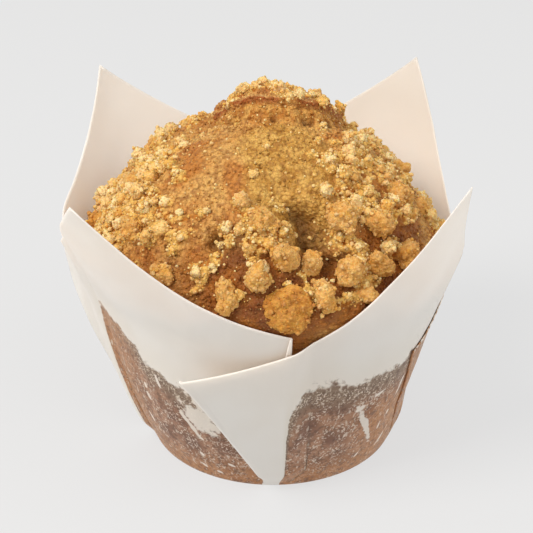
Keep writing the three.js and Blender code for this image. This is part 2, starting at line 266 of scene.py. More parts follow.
# %% [markdown]
# ## Masks and layers of a finish
#
# Paper, crust and crumble are each painted the way a model maker paints: a mask says where,
# and a layer of colour goes on there. So each finish is a set of named values. It starts
# with the fields that its mesh carries and with noises of a known grain. Masks are smooth
# steps of those, and layers mix one colour, or one earlier layer, over another. The finish
# itself is then a short list that can be read as a recipe.


# %% Masks and layers of a finish
def start_finish(name, fields, noises):
    """A new material, its empty tree, and its first named values: the fields of the mesh,
    and noises, each given by the width of a grain in mm and by the detail within it."""
    material = bpy.data.materials.new(name)
    material.use_nodes = True
    tree = material.node_tree
    tree.nodes.clear()
    value = {"place": add(tree, "ShaderNodeTexCoord").outputs["Object"]}
    for field in fields:
        value[field] = add(tree, "ShaderNodeAttribute", attribute_name=field).outputs["Fac"]
    for label, (width, detail) in noises.items():
        value[label] = add(tree, "ShaderNodeTexNoise", {
            "Vector": value["place"], "Scale": 1 / (width * MM), "Detail": detail,
        }).outputs["Fac"]
    return material, tree, value


def lay(tree, value, masks, layers):
    """Adds to the named values. Each mask is a smooth step of a value between two bounds,
    from 0 to 1 or between two given ends. Each layer mixes two colours or values by a mask."""
    for name, (source, *bounds) in masks.items():
        value[name] = add(tree, "ShaderNodeMapRange", [value[source], *bounds],
                          interpolation_type="SMOOTHSTEP").outputs[0]
    for name, mask, *pair in layers:
        under, over = (paint(c) if c.startswith("#") else value[c] for c in pair)
        value[name] = add(tree, "ShaderNodeMix", {0: value[mask], 6: under, 7: over},
                          data_type="RGBA").outputs[2]


# %% [markdown]
# ## The paper wrapper: its rule
#
# The wrapper is one square of greaseproof paper, about 136 mm a side. Its middle is the
# round foot, its four corners stand up as points, and between them the surplus is folded
# into pleats that all turn the same way. It could be simulated as cloth, but a fold that
# was pressed in a tin has an exact place, so the sheet is drawn by a rule, the same one
# that the solid model follows: a wall whose radius depends on height and direction, an
# edge that falls away from each point, and flaps that leave the wall at each pleat.

# %% Points and pleats of the sheet, in mm and degrees
# Each point: azimuth, height, how far it leans out, and (drop, reach) of the edge either way.
PETALS = [
    dict(tip=-42.7, top=67.6, flare=4.4, ccw=(33, 22), cw=(37, 24)),
    dict(tip=-133.4, top=66.0, flare=6.0, ccw=(30, 25), cw=(60, 80)),
    dict(tip=-221, top=67.1, flare=3.0, ccw=(19, 12), cw=(30, 38)),
    dict(tip=-311.5, top=67.8, flare=3.6, ccw=(30, 38), cw=(46, 44)),
]
# Each pleat: azimuth of its inner fold, width of its flap, how far it stands off, how far
# it presses the wall in, the step from layer to layer, where along the ramp its paper turns
# dry (None where fat has soaked it), the height over which its layers part, and how far a
# belly halfway up its flap stands out.
PLEATS = [
    dict(azimuth=-85.5, root=2.5, widening=0.44, stand=1.5, pinch=0.3, step=0.7,
         dry=(1, 1.2), rise=0, belly=0),
    dict(azimuth=-165, root=2.5, widening=0.44, stand=1.4, pinch=0, step=0.7,
         dry=(0.1, 0.8), rise=0, belly=1.7),
    dict(azimuth=-267, root=2.5, widening=0.44, stand=1.2, pinch=0.8, step=0.7,
         dry=(0.1, 0.8), rise=0, belly=0),
    dict(azimuth=-374, root=4, widening=0.33, stand=0, pinch=2.2, step=0.22,
         dry=None, rise=18, belly=0),
]

# %% [markdown]
# ## The wall and its free edge
#
# The tin gives the wall its slope and the rising cake gives it a swell. Above the tin the
# points lean out, and each pleat presses the wall in a little below them.

# %% The wall and its free edge
BASE_RADIUS = 25
WALL_SLOPE = 0.22
WALL_SWELL = 3.3
WALL_SWELL_HEIGHT = 11
WALL_SWELL_POWER = 1.2
LEFT_LEAN = 2.9
RIGHT_LEAN = 0.9
LEAN_HEIGHTS = (30, 60)
FLARE_START = 38
FLARE_SPREAD = 28
FLARE_POWER = 1.3
PINCH_SPREAD = 24
PINCH_RISE = (1, 14)
PINCH_FADE = (24, 44)


def wall_radius(azimuth, z):
    """Radius of the middle of the paper."""
    azimuth, z = np.broadcast_arrays(np.asarray(azimuth, float), np.asarray(z, float))
    climbed = (np.maximum(z, 0) / WALL_SWELL_HEIGHT) ** WALL_SWELL_POWER
    swell = WALL_SWELL * (1 - np.exp(-climbed))
    sideways = np.cos(np.radians(azimuth))
    lean = np.where(sideways < 0, LEFT_LEAN, RIGHT_LEAN) * smooth(z, *LEAN_HEIGHTS) * sideways
    radius = BASE_RADIUS + WALL_SLOPE * z + swell - lean
    for petal in PETALS:
        rise = np.maximum(z - FLARE_START, 0) / (petal["top"] - FLARE_START)
        nearness = ridge(turn_from(azimuth, petal["tip"]), 0, FLARE_SPREAD)
        radius = radius + petal["flare"] * rise ** FLARE_POWER * nearness
    pressed = smooth(z, *PINCH_RISE) * (1 - smooth(z, *PINCH_FADE))
    for pleat in PLEATS:
        nearness = ridge(turn_from(azimuth, pleat["azimuth"]), 0, PINCH_SPREAD)
        radius = radius - pleat["pinch"] * pressed * nearness
    return radius


def edge_height(petal, azimuth):
    """Height of the free edge of a petal."""
    turn = azimuth - petal["tip"]
    drop, reach = petal["ccw"] if turn > 0 else petal["cw"]
    return petal["top"] - drop * (1 - math.exp(-abs(turn) / reach))


# %% [markdown]
# ## Flaps
#
# At a pleat the sheet lies three layers deep. Its outer layer, the flap, stands off the
# wall a little more the further it is from its fold, because paper springs back. One flap
# has a soft belly halfway up, and one has layers that only part above the foot, where fat
# has glued them.

# %% Flaps
FLAP_TOP = 34
RAMP = 5
BELLY_HEIGHT = 27
BELLY_SPREAD = 9
GLUED_SHARE = 0.15


def across(pleat, z, arc):
    """Azimuth of a place that is arc mm past a pleat's inner fold."""
    return pleat["azimuth"] - np.degrees(arc / wall_radius(pleat["azimuth"], z))


def flap_lift(pleat, z, arc):
    """How far a flap stands off the wall, arc mm past the inner fold."""
    bend = pleat["stand"] * np.maximum(arc, 0) ** 2 / (2 * wall_radius(pleat["azimuth"], z))
    belly = pleat["belly"] * ridge(z, BELLY_HEIGHT, BELLY_SPREAD) * smooth(arc, 0, RAMP)
    parted = 1
    if pleat["rise"]:
        parted = GLUED_SHARE + (1 - GLUED_SHARE) * smooth(z, 0, pleat["rise"])
    return (2 * pleat["step"] + bend + belly) * parted


def flap_width(pleat, z):
    """How wide a flap is at a height."""
    return pleat["root"] + pleat["widening"] * z


# %% [markdown]
# ## The plain columns of the sheet
#
# The sheet is laid out as columns that run from the foot to the free edge. Each knows its
# place at every height, as an azimuth and a lift off the wall, its top, how dry it is, and
# the azimuth it has on the flat foot. Going clockwise, a petal has plain columns first.

# %% The plain columns of the sheet
HALF_PETAL_COLUMNS = 28
FLAT_BEFORE = 3
FLAT_AFTER = 9.5


def body_columns(petal, start, pleat):
    """The plain columns of a petal, from the pleat before it to its own."""
    end = pleat["azimuth"] + float(np.degrees(RAMP / wall_radius(pleat["azimuth"], FLAP_TOP)))
    first = np.linspace(start, petal["tip"], HALF_PETAL_COLUMNS + 1)
    second = np.linspace(petal["tip"], end, HALF_PETAL_COLUMNS + 1)[1:]
    foot_end = pleat["azimuth"] + FLAT_BEFORE
    foot_start = start - FLAT_AFTER
    columns = []
    for azimuth in [*first, *second]:
        share = (azimuth - start) / (end - start)
        columns.append(dict(
            flat=foot_start + (foot_end - foot_start) * share,
            place=lambda z, azimuth=azimuth: (azimuth + 0 * z, 0 * z),
            top=edge_height(petal, azimuth),
            dry=0.0,
        ))
    return columns


# %% [markdown]
# ## The columns of a pleat
#
# Then comes the pleat: the sheet ramps up over the fold, runs on as a flap, turns back on
# itself, and dives under to become the next petal. The points beside each fold are closer
# together, so that the fold stays round and tight.

# %% The columns of a pleat
RAMP_COLUMNS = 7
FLAP_COLUMNS = 12
FOLD_TURNS = (45, 90, 135)
RETURN_ENDS = (0.04, 0.0)
RETURN_TUCK = 0.5
OUTER_SHARE = 0.93


def fold_arc(step):
    """Points of a round fold: how far out and how far down each is, and its angle."""
    return [(step / 2 * math.sin(math.radians(angle)),
             step / 2 * (1 - math.cos(math.radians(angle))), angle) for angle in FOLD_TURNS]


def pleat_columns(petal, pleat, following):
    """The columns that climb over a pleat, run out along its flap and come back."""
    def top_at(arc):
        return edge_height(petal, float(across(pleat, FLAP_TOP, arc)))

    inner_top = edge_height(following, pleat["azimuth"])
    outer_top = top_at(flap_width(pleat, FLAP_TOP))
    dry = 1.0 if pleat["dry"] else 0.0
    step = pleat["step"]
    columns = []
    for i in range(1, RAMP_COLUMNS + 1):
        climbed = i / RAMP_COLUMNS
        arc = -step - (RAMP - step) * (1 - climbed)
        lift = 2 * step * float(smooth(climbed, 0, 1))
        columns.append(dict(
            place=lambda z, arc=arc, lift=lift: (across(pleat, z, arc), lift + 0 * z),
            top=top_at(arc),
            dry=float(smooth(climbed, *pleat["dry"])) if pleat["dry"] else 0.0))
    for i in range(1, FLAP_COLUMNS + 1):
        share = i / FLAP_COLUMNS
        columns.append(dict(
            place=lambda z, share=share: (
                across(pleat, z, share * flap_width(pleat, z)),
                flap_lift(pleat, z, share * flap_width(pleat, z))),
            top=top_at(share * flap_width(pleat, FLAP_TOP)), dry=dry))
    for out, down, _ in fold_arc(step):
        columns.append(dict(
            place=lambda z, out=out, down=down: (
                across(pleat, z, flap_width(pleat, z) + out),
                flap_lift(pleat, z, flap_width(pleat, z)) - down),
            top=outer_top, dry=dry))
    for share in [*np.linspace(1, 0, FLAP_COLUMNS, endpoint=False), *RETURN_ENDS]:
        straight = inner_top + (outer_top - inner_top) * share
        tucked = top_at(share * flap_width(pleat, FLAP_TOP)) - RETURN_TUCK
        columns.append(dict(
            place=lambda z, share=share: (
                across(pleat, z, share * flap_width(pleat, z)),
                flap_lift(pleat, z, share * flap_width(pleat, z)) - step),
            top=min(straight, tucked) if share > 0 else inner_top, dry=dry))
    for out, down, angle in fold_arc(step):
        columns.append(dict(
            place=lambda z, out=out, down=down: (across(pleat, z, -out), step - down + 0 * z),
            top=inner_top, dry=dry * (1 - angle / 180)))
    outer = RAMP_COLUMNS + FLAP_COLUMNS
    for i, column in enumerate(columns):
        share = np.interp(i + 1, (0, outer, len(columns) + 1), (0, OUTER_SHARE, 1))
        column["flat"] = pleat["azimuth"] + FLAT_BEFORE - (FLAT_BEFORE + FLAT_AFTER) * share
    return columns


# %% [markdown]
# ## All columns round the foot
#
# Each petal starts where the pleat before it ends, and the last one meets the first again
# after a full turn.

# %% All columns round the foot
sheet_columns = []
for i, petal in enumerate(PETALS):
    start = PLEATS[i - 1]["azimuth"] + (360 if i == 0 else 0)
    following = dict(PETALS[(i + 1) % len(PETALS)])
    if i == len(PETALS) - 1:
        following["tip"] -= 360
    sheet_columns += body_columns(petal, start, PLEATS[i])
    sheet_columns += pleat_columns(petal, PLEATS[i], following)
print("wrapper columns:", len(sheet_columns))

# %% [markdown]
# ## Points of the sheet and its fat line
#
# The columns become rows of points. Near the foot all folds are pressed flat, so each
# column moves over to its place there. Three fields go with each point for the material:
# how far below the fat line it lies, its azimuth and its height.

# %% Points of the sheet and its fat line
WALL_ROWS = 78
FOLD_HEIGHT = 5
DRY_DEPTH = -9.0
# Azimuth and height of the line that the fat has climbed to.
FAT_LINE = [
    (-360, 30), (-300, 29), (-240, 31), (-200, 33), (-168, 35), (-145, 34.8), (-138.6, 31.2),
    (-135, 28), (-131, 27.9), (-125, 25.9), (-121, 24.6), (-110, 22), (-97, 21), (-85, 21.3),
    (-83.6, 23.9), (-79.6, 27.7), (-72.7, 28.1), (-64.5, 27.1), (-57, 27.4), (-48, 27.3),
    (-37, 28.2), (-25, 30.5), (-14, 33), (0, 31),
]


def sheet_points():
    """The points of the smooth sheet, with the azimuth, height and depth of each."""
    azimuths, heights, drys, points = [], [], [], []
    for column in sheet_columns:
        z = column["top"] * np.linspace(0, 1, WALL_ROWS + 1)
        folded = smooth(z, 0, FOLD_HEIGHT)
        azimuth, lift = column["place"](z)
        azimuth = column["flat"] + (azimuth - column["flat"]) * folded
        radius = wall_radius(azimuth, z) + lift * folded
        turned = np.radians(azimuth)
        points.append(np.stack([radius * np.cos(turned), radius * np.sin(turned), z], axis=1))
        azimuths.append(azimuth)
        heights.append(z)
        drys.append(column["dry"] + 0 * z)
    azimuths, heights, drys = (np.concatenate(a) for a in (azimuths, heights, drys))
    line = np.interp((azimuths % 360) - 360, *zip(*FAT_LINE))
    depth = (line - heights) * (1 - drys) + DRY_DEPTH * drys
    return np.concatenate(points), azimuths, heights, depth


# %% [markdown]
# ## The wrapper as a thin sheet
#
# The paper is not perfect: above the cake it is dry and gently wavy, and where the hot
# batter pressed it into the tin it is soft and finely crinkled. Both are moved into the
# mesh itself. The points become one closed ring of quads with a round floor, and the sheet
# gets a real paper thickness from a Solidify modifier.

# %% The wrapper as a thin sheet
PAPER_THICKNESS = 0.22
SOAKED_DEPTHS = (-1.5, 2.5)
FOOT_HEIGHTS = (0, 4)
LOOSE_HEIGHTS = (26, 48)
WAVES = [(0.55, 17, 3), (0.16, 6, 8)]
# Wide crinkles run up the wall, so their noise is stretched upwards. Fine ones are round.
CRINKLES = [(0.13, 2.6, 5)]
UPRIGHT = (1, 1, 0.5)
FINE_CRINKLES = [(0.06, 1.2, 6)]
# The floor counts as far below the fat line: it is fully soaked.
FLOOR_DEPTH = 20


def wrapper_mesh():
    """The sheet as a mesh object, with its fields."""
    points, azimuths, heights, depth = sheet_points()
    outward = np.stack([points[:, 0], points[:, 1], 0 * heights], axis=1)
    outward /= np.linalg.norm(outward, axis=1)[:, None]
    waves = layered(points, WAVES) * smooth(heights, *LOOSE_HEIGHTS)
    crinkles = layered(points * UPRIGHT, CRINKLES) + layered(points, FINE_CRINKLES)
    crinkles = crinkles * smooth(depth, *SOAKED_DEPTHS) * smooth(heights, *FOOT_HEIGHTS)
    points = points + outward * (waves + crinkles)[:, None]
    count, rows = len(sheet_columns), WALL_ROWS + 1
    faces = []
    for i in range(count):
        here, after = i * rows, (i + 1) % count * rows
        faces += [(after + row, here + row, here + row + 1, after + row + 1)
                  for row in range(WALL_ROWS)]
    centre = len(points)
    faces += [((i + 1) % count * rows, centre, i * rows) for i in range(count)]
    piece = mesh_piece(
        "tulip_paper", np.vstack([points, (0, 0, 0)]), faces,
        depth=np.append(depth, FLOOR_DEPTH),
        azimuth=np.append(azimuths, 0),
        height=np.append(heights, 0),
    )
    print("wrapper faces:", len(faces))
    return piece


wrapper = wrapper_mesh()
skin = wrapper.modifiers.new("paper thickness", "SOLIDIFY")
skin.thickness = PAPER_THICKNESS * MM
skin.offset = 0

# %% [markdown]
# ## Greaseproof paper: its recipe
#
# Greaseproof paper is dense bleached kraft pulp: off-white, matt, slightly warm and a
# little translucent. Where fat from the cake soaks it, it turns clear and shows the brown
# crust behind it. So the finish is two looks: dry paper, and soaked paper on crust with
# lighter flecks where a crinkle holds air. The line between them is frayed by noise.

# %% Greaseproof paper: its recipe
PAPER_NOISES = dict(
    edge=(4.5, 2), fine_edge=(1.0, 2), mark_edge=(1.4, 2), blotch=(5.5, 2), line_blotch=(2.5, 2),
    warm_blotch=(3.2, 2), dimple=(0.9, 1), fleck_blotch=(2.6, 2), dry_blotch=(22, 2), fibre=(0.5, 3),
)
# The fat line, and where the crust behind the paper is warmer: low down, right and left.
PAPER_PLACES = dict(
    soaked=("climb", 4.0, 5.6),
    low=("height", 10, 1),
    right=("azimuth", -66, -44),
    right_band=("height", 25, 14),
    left=("azimuth", -135, -150, 0.0, 0.8),
    near_line=("depth", 9.0, 2.0),
    near_fat=("depth", -9, -1, 0.0, 0.35),
    # Where the upper rear point gets painted shade, because the key lamp lights its inside strongly.
    rear_from=("azimuth", -270, -286),
    rear_to=("azimuth", -352, -336),
    rear_high=("height", 40, 60, 0.0, 0.85),
)
PAPER_MASKS = dict(
    blotches=("blotch", 0.35, 0.65),
    dimples=("dimple", 0.50, 0.35, 0.0, 0.55),
    fleck_spots=("fleck", 0.51, 0.66),
    fleck_areas=("fleck_blotch", 0.36, 0.60),
    fleck_strength=("warm", 1.0, 0.0, 0.40, 0.85),
    streaks=("streak", 0.64, 0.72, 0.0, 0.6),
    dry_blotches=("dry_blotch", 0.35, 0.65),
    roughness=("soaked", 0, 1, 0.78, 0.48),
)
PAPER_LAYERS = [
    ("brown", "blotches", "#7d5742", "#a87c5f"),
    ("dull", "line_blotch", "#735d4b", "#98806a"),
    ("brown", "near_line", "brown", "dull"),
    ("tan", "warm_blotch", "#a3683a", "#c48c58"),
    ("brown", "warm_share", "brown", "tan"),
    ("brown", "dimples", "brown", "#5f4232"),
    ("wet", "flecks", "brown", "#dccbb8"),
    ("wet", "streaks", "wet", "#dccbb8"),
    ("dry", "dry_blotches", "#f5eade", "#efe2d5"),
    ("dry", "near_fat", "dry", "#e2d3c1"),
    # Painted shade on the upper rear point.
    ("dry", "rear_painted_shade", "dry", "#d8cdc1"),
    ("colour", "soaked", "dry", "wet"),
]

# %% [markdown]
# ## Dry marks in the soaked paper
#
# Where the paper bridges a hollow in the cake, no fat reaches it, and a longer dry mark
# stays. Each mark is an ellipse on the unrolled wall. A Mapping node brings a place into
# the mark's own frame, where the length of the vector is 1 on the mark's border, and one
# noise frays all of them. A mark then takes the lower of the two soaked values.

# %% Dry marks in the soaked paper
# Azimuth, height, half length, half width in mm, and lean from upright in degrees.
DRY_MARKS = [
    (-54.0, 14.0, 6.5, 0.75, 28), (-58.4, 19.3, 1.4, 0.6, -60), (-38.5, 20.2, 2.6, 0.45, -12),
    (-51.2, 21.5, 1.3, 0.35, -69), (-41.6, 13.9, 0.7, 0.5, -10), (-45.1, 11.4, 1.2, 0.3, 0),
    (-39.1, 6.1, 1.6, 0.35, -30), (-52.5, 4.9, 0.9, 0.4, -40), (-139.0, 20.9, 0.7, 0.45, 0),
    (-139.2, 18.2, 1.0, 0.5, 20), (-131.1, 24.2, 1.8, 0.35, 10), (-143.8, 11.2, 1.4, 0.35, 20),
    (-119.5, 7.0, 0.6, 0.4, 60), (-120.8, 3.4, 1.0, 0.4, 60), (-113.6, 2.4, 0.9, 0.4, 80),
    (-107.0, 5.5, 0.8, 0.3, 70), (-116.0, 17.6, 4.2, 2.9, 40), (-120.5, 15.0, 3.6, 0.6, 30),
    (-113.8, 21.6, 2.6, 2.0, 60),
]
MARKED_RADIUS = 31.0
MARK_FRAY = 1.6
MARK_BORDER = (1.6, 1.95)
MARK_ENDS = (0.12, 1.0)


def dry_marks(tree, value):
    """The soaked value with the dry marks taken out of it."""
    side = add(tree, "ShaderNodeMath", [value["azimuth"], math.radians(MARKED_RADIUS)],
               operation="MULTIPLY").outputs[0]
    unrolled = add(tree, "ShaderNodeCombineXYZ", [side, value["height"], 0.0]).outputs[0]
    soaked = value["soaked"]
    for azimuth, height, half_length, half_width, lean in DRY_MARKS:
        own = add(tree, "ShaderNodeMapping", {
            "Vector": unrolled,
            "Location": (azimuth * math.radians(MARKED_RADIUS), height, 0),
            "Rotation": (0, 0, math.radians(lean)),
            "Scale": (half_width, half_length, 1),
        }, vector_type="TEXTURE").outputs[0]
        reach = add(tree, "ShaderNodeVectorMath", [own], operation="LENGTH").outputs["Value"]
        frayed = add(tree, "ShaderNodeMath", [value["mark_edge"], MARK_FRAY, reach],
                     operation="MULTIPLY_ADD").outputs[0]
        outside = add(tree, "ShaderNodeMapRange", [frayed, *MARK_BORDER, *MARK_ENDS],
                      interpolation_type="SMOOTHSTEP").outputs[0]
        soaked = add(tree, "ShaderNodeMath", [soaked, outside], operation="MINIMUM").outputs[0]
    return soaked


# %% [markdown]
# ## Greaseproof paper
#
# The recipe and the marks come together here. A few values are made by hand between the
# places and the layers: the frayed climb of the fat, the warm share of the crust behind,
# the flecks and streaks that held air, and painted shade on the upper rear point, which the
# key lamp lights more strongly than the others. Light goes into dry paper and out again close
# by, which gives the folds their soft glow.

# %% Greaseproof paper
EDGE_FRAY = 5.0
FINE_EDGE_FRAY = 4.0
WARM_STRENGTH = 0.85
FLECK_WIDTH = 0.42
FLECK_BEND = 0.3
STREAK_WIDTH = 0.8
STREAK_STRETCH = (1, 1, 0.35)


def paper_finish():
    """Greaseproof paper: matt and milky where dry, brown and clearer where fat soaked it."""
    material, tree, value = start_finish(
        "greaseproof_paper", ("depth", "azimuth", "height"), PAPER_NOISES)
    frayed = add(tree, "ShaderNodeMath", [value["edge"], EDGE_FRAY, value["depth"]],
                 operation="MULTIPLY_ADD").outputs[0]
    value["climb"] = add(tree, "ShaderNodeMath", [value["fine_edge"], FINE_EDGE_FRAY, frayed],
                         operation="MULTIPLY_ADD").outputs[0]
    lay(tree, value, PAPER_PLACES, [])
    value["soaked"] = dry_marks(tree, value)
    stretched = add(tree, "ShaderNodeMapping", {
        "Vector": value["place"], "Scale": STREAK_STRETCH}).outputs[0]
    value["streak"] = add(tree, "ShaderNodeTexNoise", {
        "Vector": stretched, "Scale": 1 / (STREAK_WIDTH * MM), "Detail": 1.0}).outputs["Fac"]
    value["fleck"] = add(tree, "ShaderNodeTexNoise", {
        "Vector": value["place"], "Scale": 1 / (FLECK_WIDTH * MM), "Detail": 1.0,
        "Distortion": FLECK_BEND}).outputs["Fac"]
    # The warm share, and the mask of painted shade on the upper rear point.
    for name, operation, first, second in (
            ("warm", "MULTIPLY", "right", "right_band"),
            ("warm", "MAXIMUM", "warm", "low"),
            ("warm", "MAXIMUM", "warm", "left"),
            ("rear_painted_shade", "MULTIPLY", "rear_from", "rear_to"),
            ("rear_painted_shade", "MULTIPLY", "rear_painted_shade", "rear_high")):
        value[name] = add(tree, "ShaderNodeMath", [value[first], value[second]],
                          operation=operation).outputs[0]
    value["warm_share"] = add(tree, "ShaderNodeMath", [value["warm"], WARM_STRENGTH],
                              operation="MULTIPLY").outputs[0]
    lay(tree, value, PAPER_MASKS, [])
    spots = add(tree, "ShaderNodeMath", [value["fleck_spots"], value["fleck_areas"]],
                operation="MULTIPLY").outputs[0]
    value["flecks"] = add(tree, "ShaderNodeMath", [spots, value["fleck_strength"]],
                          operation="MULTIPLY").outputs[0]
    lay(tree, value, {}, PAPER_LAYERS)
    fibre = add(tree, "ShaderNodeBump", {
        "Strength": 0.25, "Distance": 0.05 * MM, "Height": value["fibre"]})
    surface = add(tree, "ShaderNodeBsdfPrincipled", {
        "Base Color": value["colour"],
        "Roughness": value["roughness"],
        "IOR": 1.5,
        "Specular IOR Level": 0.35,
        "Subsurface Weight": 0.8,
        "Subsurface Radius": (1.0, 0.97, 0.95),
        "Subsurface Scale": 0.8 * MM,
        "Normal": fibre.outputs[0],
    })
    add(tree, "ShaderNodeOutputMaterial", {"Surface": surface.outputs[0]})
    print("nodes of the paper:", len(tree.nodes))
    return material


wrapper.data.materials.append(paper_finish())

# %% [markdown]
# ## The cake: its rule
#
# A muffin's dome is a little more pointed than an ellipse, because the middle goes on
# rising after the rim has set. Where it rises last, the crust tears: here in two splits at
# the front, a wide pale burst above them, and a plate of crust that was lifted off at the
# back of the top. The grid below follows the same formula as the solid cake, with many
# more points, so that pores, cracks and the torn rim can be moved into the mesh.

# %% The rule of the dome, in mm and degrees
DOME_CENTRE = np.array((-1.5, -2.0))
DOME_RADIUS = 36.2
DOME_BASE_Z = 36
DOME_HEIGHT = 35.7
DOME_POWER = 1.82
FRONT_COLUMNS = 290
BACK_COLUMNS = 130
CAKE_COLUMNS = FRONT_COLUMNS + BACK_COLUMNS
CAKE_AZIMUTHS = np.concatenate([np.linspace(-180, 0, FRONT_COLUMNS, endpoint=False),
                                np.linspace(0, 180, BACK_COLUMNS, endpoint=False)])
SIDE_ROWS = 115
TOP_ROWS = 95
TOP_STEEPNESS = 58
DOME_ROWS = SIDE_ROWS + TOP_ROWS
# The cake stays this far inside its paper and below the top of its solid.
CLEAR = 0.7
# The least distance from the axis that is divided by.
TINY = 0.1


def direction(azimuth, elevation):
    """Unit vectors at azimuths and elevations, in degrees."""
    azimuth, elevation = np.radians(azimuth), np.radians(elevation)
    level = np.cos(elevation)
    return np.stack([level * np.cos(azimuth), level * np.sin(azimuth), np.sin(elevation)], axis=-1)


def dome_grid():
    """The dome's points, ring by ring, with the outward direction of each."""
    steepness = np.concatenate([np.linspace(0, TOP_STEEPNESS, SIDE_ROWS, endpoint=False),
                                np.linspace(TOP_STEEPNESS, 90, TOP_ROWS, endpoint=False)])
    azimuth, steepness = (a.ravel() for a in np.meshgrid(CAKE_AZIMUTHS, steepness))
    azimuth, steepness = np.append(azimuth, 0), np.append(steepness, 90)
    power = 2 / DOME_POWER
    radius = DOME_RADIUS * np.cos(np.radians(steepness)) ** power
    height = DOME_HEIGHT * np.sin(np.radians(steepness)) ** power
    turned = np.radians(azimuth)
    points = np.stack([radius * np.cos(turned) + DOME_CENTRE[0],
                       radius * np.sin(turned) + DOME_CENTRE[1],
                       DOME_BASE_Z + height], axis=1)
    facing = direction(azimuth, np.degrees(np.arctan2(height, radius)))
    return points, facing


# %% [markdown]
# ## Where crumble lies, and where the crust burst
#
# The baker strewed crumble by hand, and the rising crust carried it apart. A few soft
# patches say where it lies thick and where the crust is bare. A second set says where
# pale crumb shows because the crust tore late, a third where the crust is darker low on
# the front, partly browned more and partly as painted shade, and a fourth where the dome
# stands out in a mound or sinks in a saddle.

# %% Patches of the dome
# Each patch: azimuth, elevation, spread in degrees, amount (in mm for the mounds).
COVER_START = 0.50
COVER_PATCHES = [
    (168, 66, 13, -0.55), (71, 76, 10, 0.40), (-50, 56, 12, 0.15), (-30, 62, 12, 0.10),
    (-160, 35, 20, 0.35), (-172, 45, 20, 0.25), (-135, 38, 10, 0.12), (-153, 61, 7, -0.50),
    (-150, 45, 6, -0.35), (-132, 19, 13, -0.32), (-125, 40, 7, -0.15), (-112, 57, 10, -0.60),
    (-90, 74, 14, -0.35), (-85, 60, 14, -0.45), (-72, 46, 9, -0.45), (-72, 33, 6, -0.45),
    (-92, 42, 8, 0.55), (-55, 48, 11, 0.25), (-35, 48, 14, 0.12), (-45, 32, 8, 0.15),
    (-25, 25, 12, -0.12), (-75, 5, 18, -0.10), (-100, 14, 14, -0.12), (-40, 8, 14, -0.05),
    (-105, 26, 8, -0.10), (-40, 78, 12, 0.05),
]
BURST_PATCHES = [
    (-85, 64, 17, 0.9), (-78, 50, 11, 0.9), (-72, 38, 7, 0.8), (-60, 60, 12, 0.4),
    (-112, 57, 9, -0.5), (-107, 35, 5, 0.5),
]
# Darker crust low on the front: partly real browning, partly painted shade.
BROWNING_AND_SHADE_PATCHES = [
    (-100, 22, 16, 0.8), (-75, 12, 20, 0.9), (-45, 18, 16, 0.7), (-25, 32, 14, 0.5),
    (-125, 22, 10, 0.4), (-68, 5, 8, -0.7), (-45, 35, 8, 0.3),
]
MOUNDS = [
    (-92, 42, 8, 1.5), (-112, 57, 9, 0.9), (8, 36, 26, -2.4), (166, 62, 18, -4.0),
    (-178, 36, 20, -2.3), (90, 45, 45, -1.2), (30, 62, 12, -0.8), (71, 76, 22, -1.7),
]


def total(patches, facing):
    """The sum of a list of patches at each direction. Each fades over its spread."""
    value = np.zeros(len(facing))
    for azimuth, elevation, spread, amount in patches:
        away = np.degrees(np.arccos(np.clip(facing @ direction(azimuth, elevation), -1, 1)))
        value += amount * ridge(away, 0, spread)
    return value


# %% [markdown]
# ## The crown
#
# Late in the oven the top burst once more and lifted a plate of crust at the back. Around
# it runs a soft skirt of pale crumb, then a torn, browned rim that stands out like a lip,
# with small caves under it. Each of these is a bell or a step of the distance from a ragged
# border round the plate.

# %% The crown
CROWN_PLACE = (1.0, 7)
CROWN_RADIUS = 13.2
CROWN_HEIGHT = 3.8
CROWN_SKIRT = 0.62
CROWN_FADE = 14
CROWN_ARCH = 0.45
ARCH_END = 1.2
# Each ragged wave of the border: how far it goes in and out, waves, seed.
RAGGED = [(1.6, 2.0, 4), (0.7, 7, 9)]
SKIRT_REACH = (-3.0, -0.6)
STEP_REACH = (-0.3, 0.5)
PLATE_REACH = (0.3, 0.9)
GOLDEN_REACH = (-3.4, -1.5)
GOLDEN_END = (-0.2, 0.2)
LIP = (0.8, 0.8)
CAVE = (-2.4, 0.8)
RIM = (0.35, 0.4)
CAVE_WAVE = (2.6, 12)
CAVE_GAPS = (-0.05, 0.3)
LIP_RISE, LIP_OUT = 0.25, 0.7
CAVE_DROP, CAVE_IN = 1.1, 0.5


def lift_crown(points):
    """Raises the crown in place, and gives its plate, rim, golden skirt and caves."""
    offset = points[:, :2] - CROWN_PLACE
    distance = np.linalg.norm(offset, axis=1)
    outward = offset / np.maximum(distance, TINY)[:, None]
    inside = CROWN_RADIUS - distance
    for reach, waves, seed in RAGGED:
        inside = inside + reach * bumps(np.column_stack([outward * waves, 0 * distance]), 1.0, seed)
    back = 1 - smooth(points[:, 1], CROWN_PLACE[1], CROWN_PLACE[1] + CROWN_FADE)
    arch = 1 - CROWN_ARCH * np.clip(np.abs(offset[:, 0]) / CROWN_RADIUS, 0, ARCH_END) ** 2
    share = CROWN_SKIRT * smooth(inside, *SKIRT_REACH) + (1 - CROWN_SKIRT) * smooth(inside, *STEP_REACH)
    lip = ridge(inside, *LIP) * back
    cave = ridge(inside, *CAVE) * back * smooth(bumps(points, *CAVE_WAVE), *CAVE_GAPS)
    points[:, 2] += CROWN_HEIGHT * arch * back * share + LIP_RISE * lip - CAVE_DROP * cave
    points[:, :2] += outward * (LIP_OUT * lip - CAVE_IN * cave)[:, None]
    plate = smooth(inside, *PLATE_REACH) * back
    rim = ridge(inside, *RIM) * back
    golden = smooth(inside, *GOLDEN_REACH) * (1 - smooth(inside, *GOLDEN_END)) * back
    return plate, rim, golden, cave
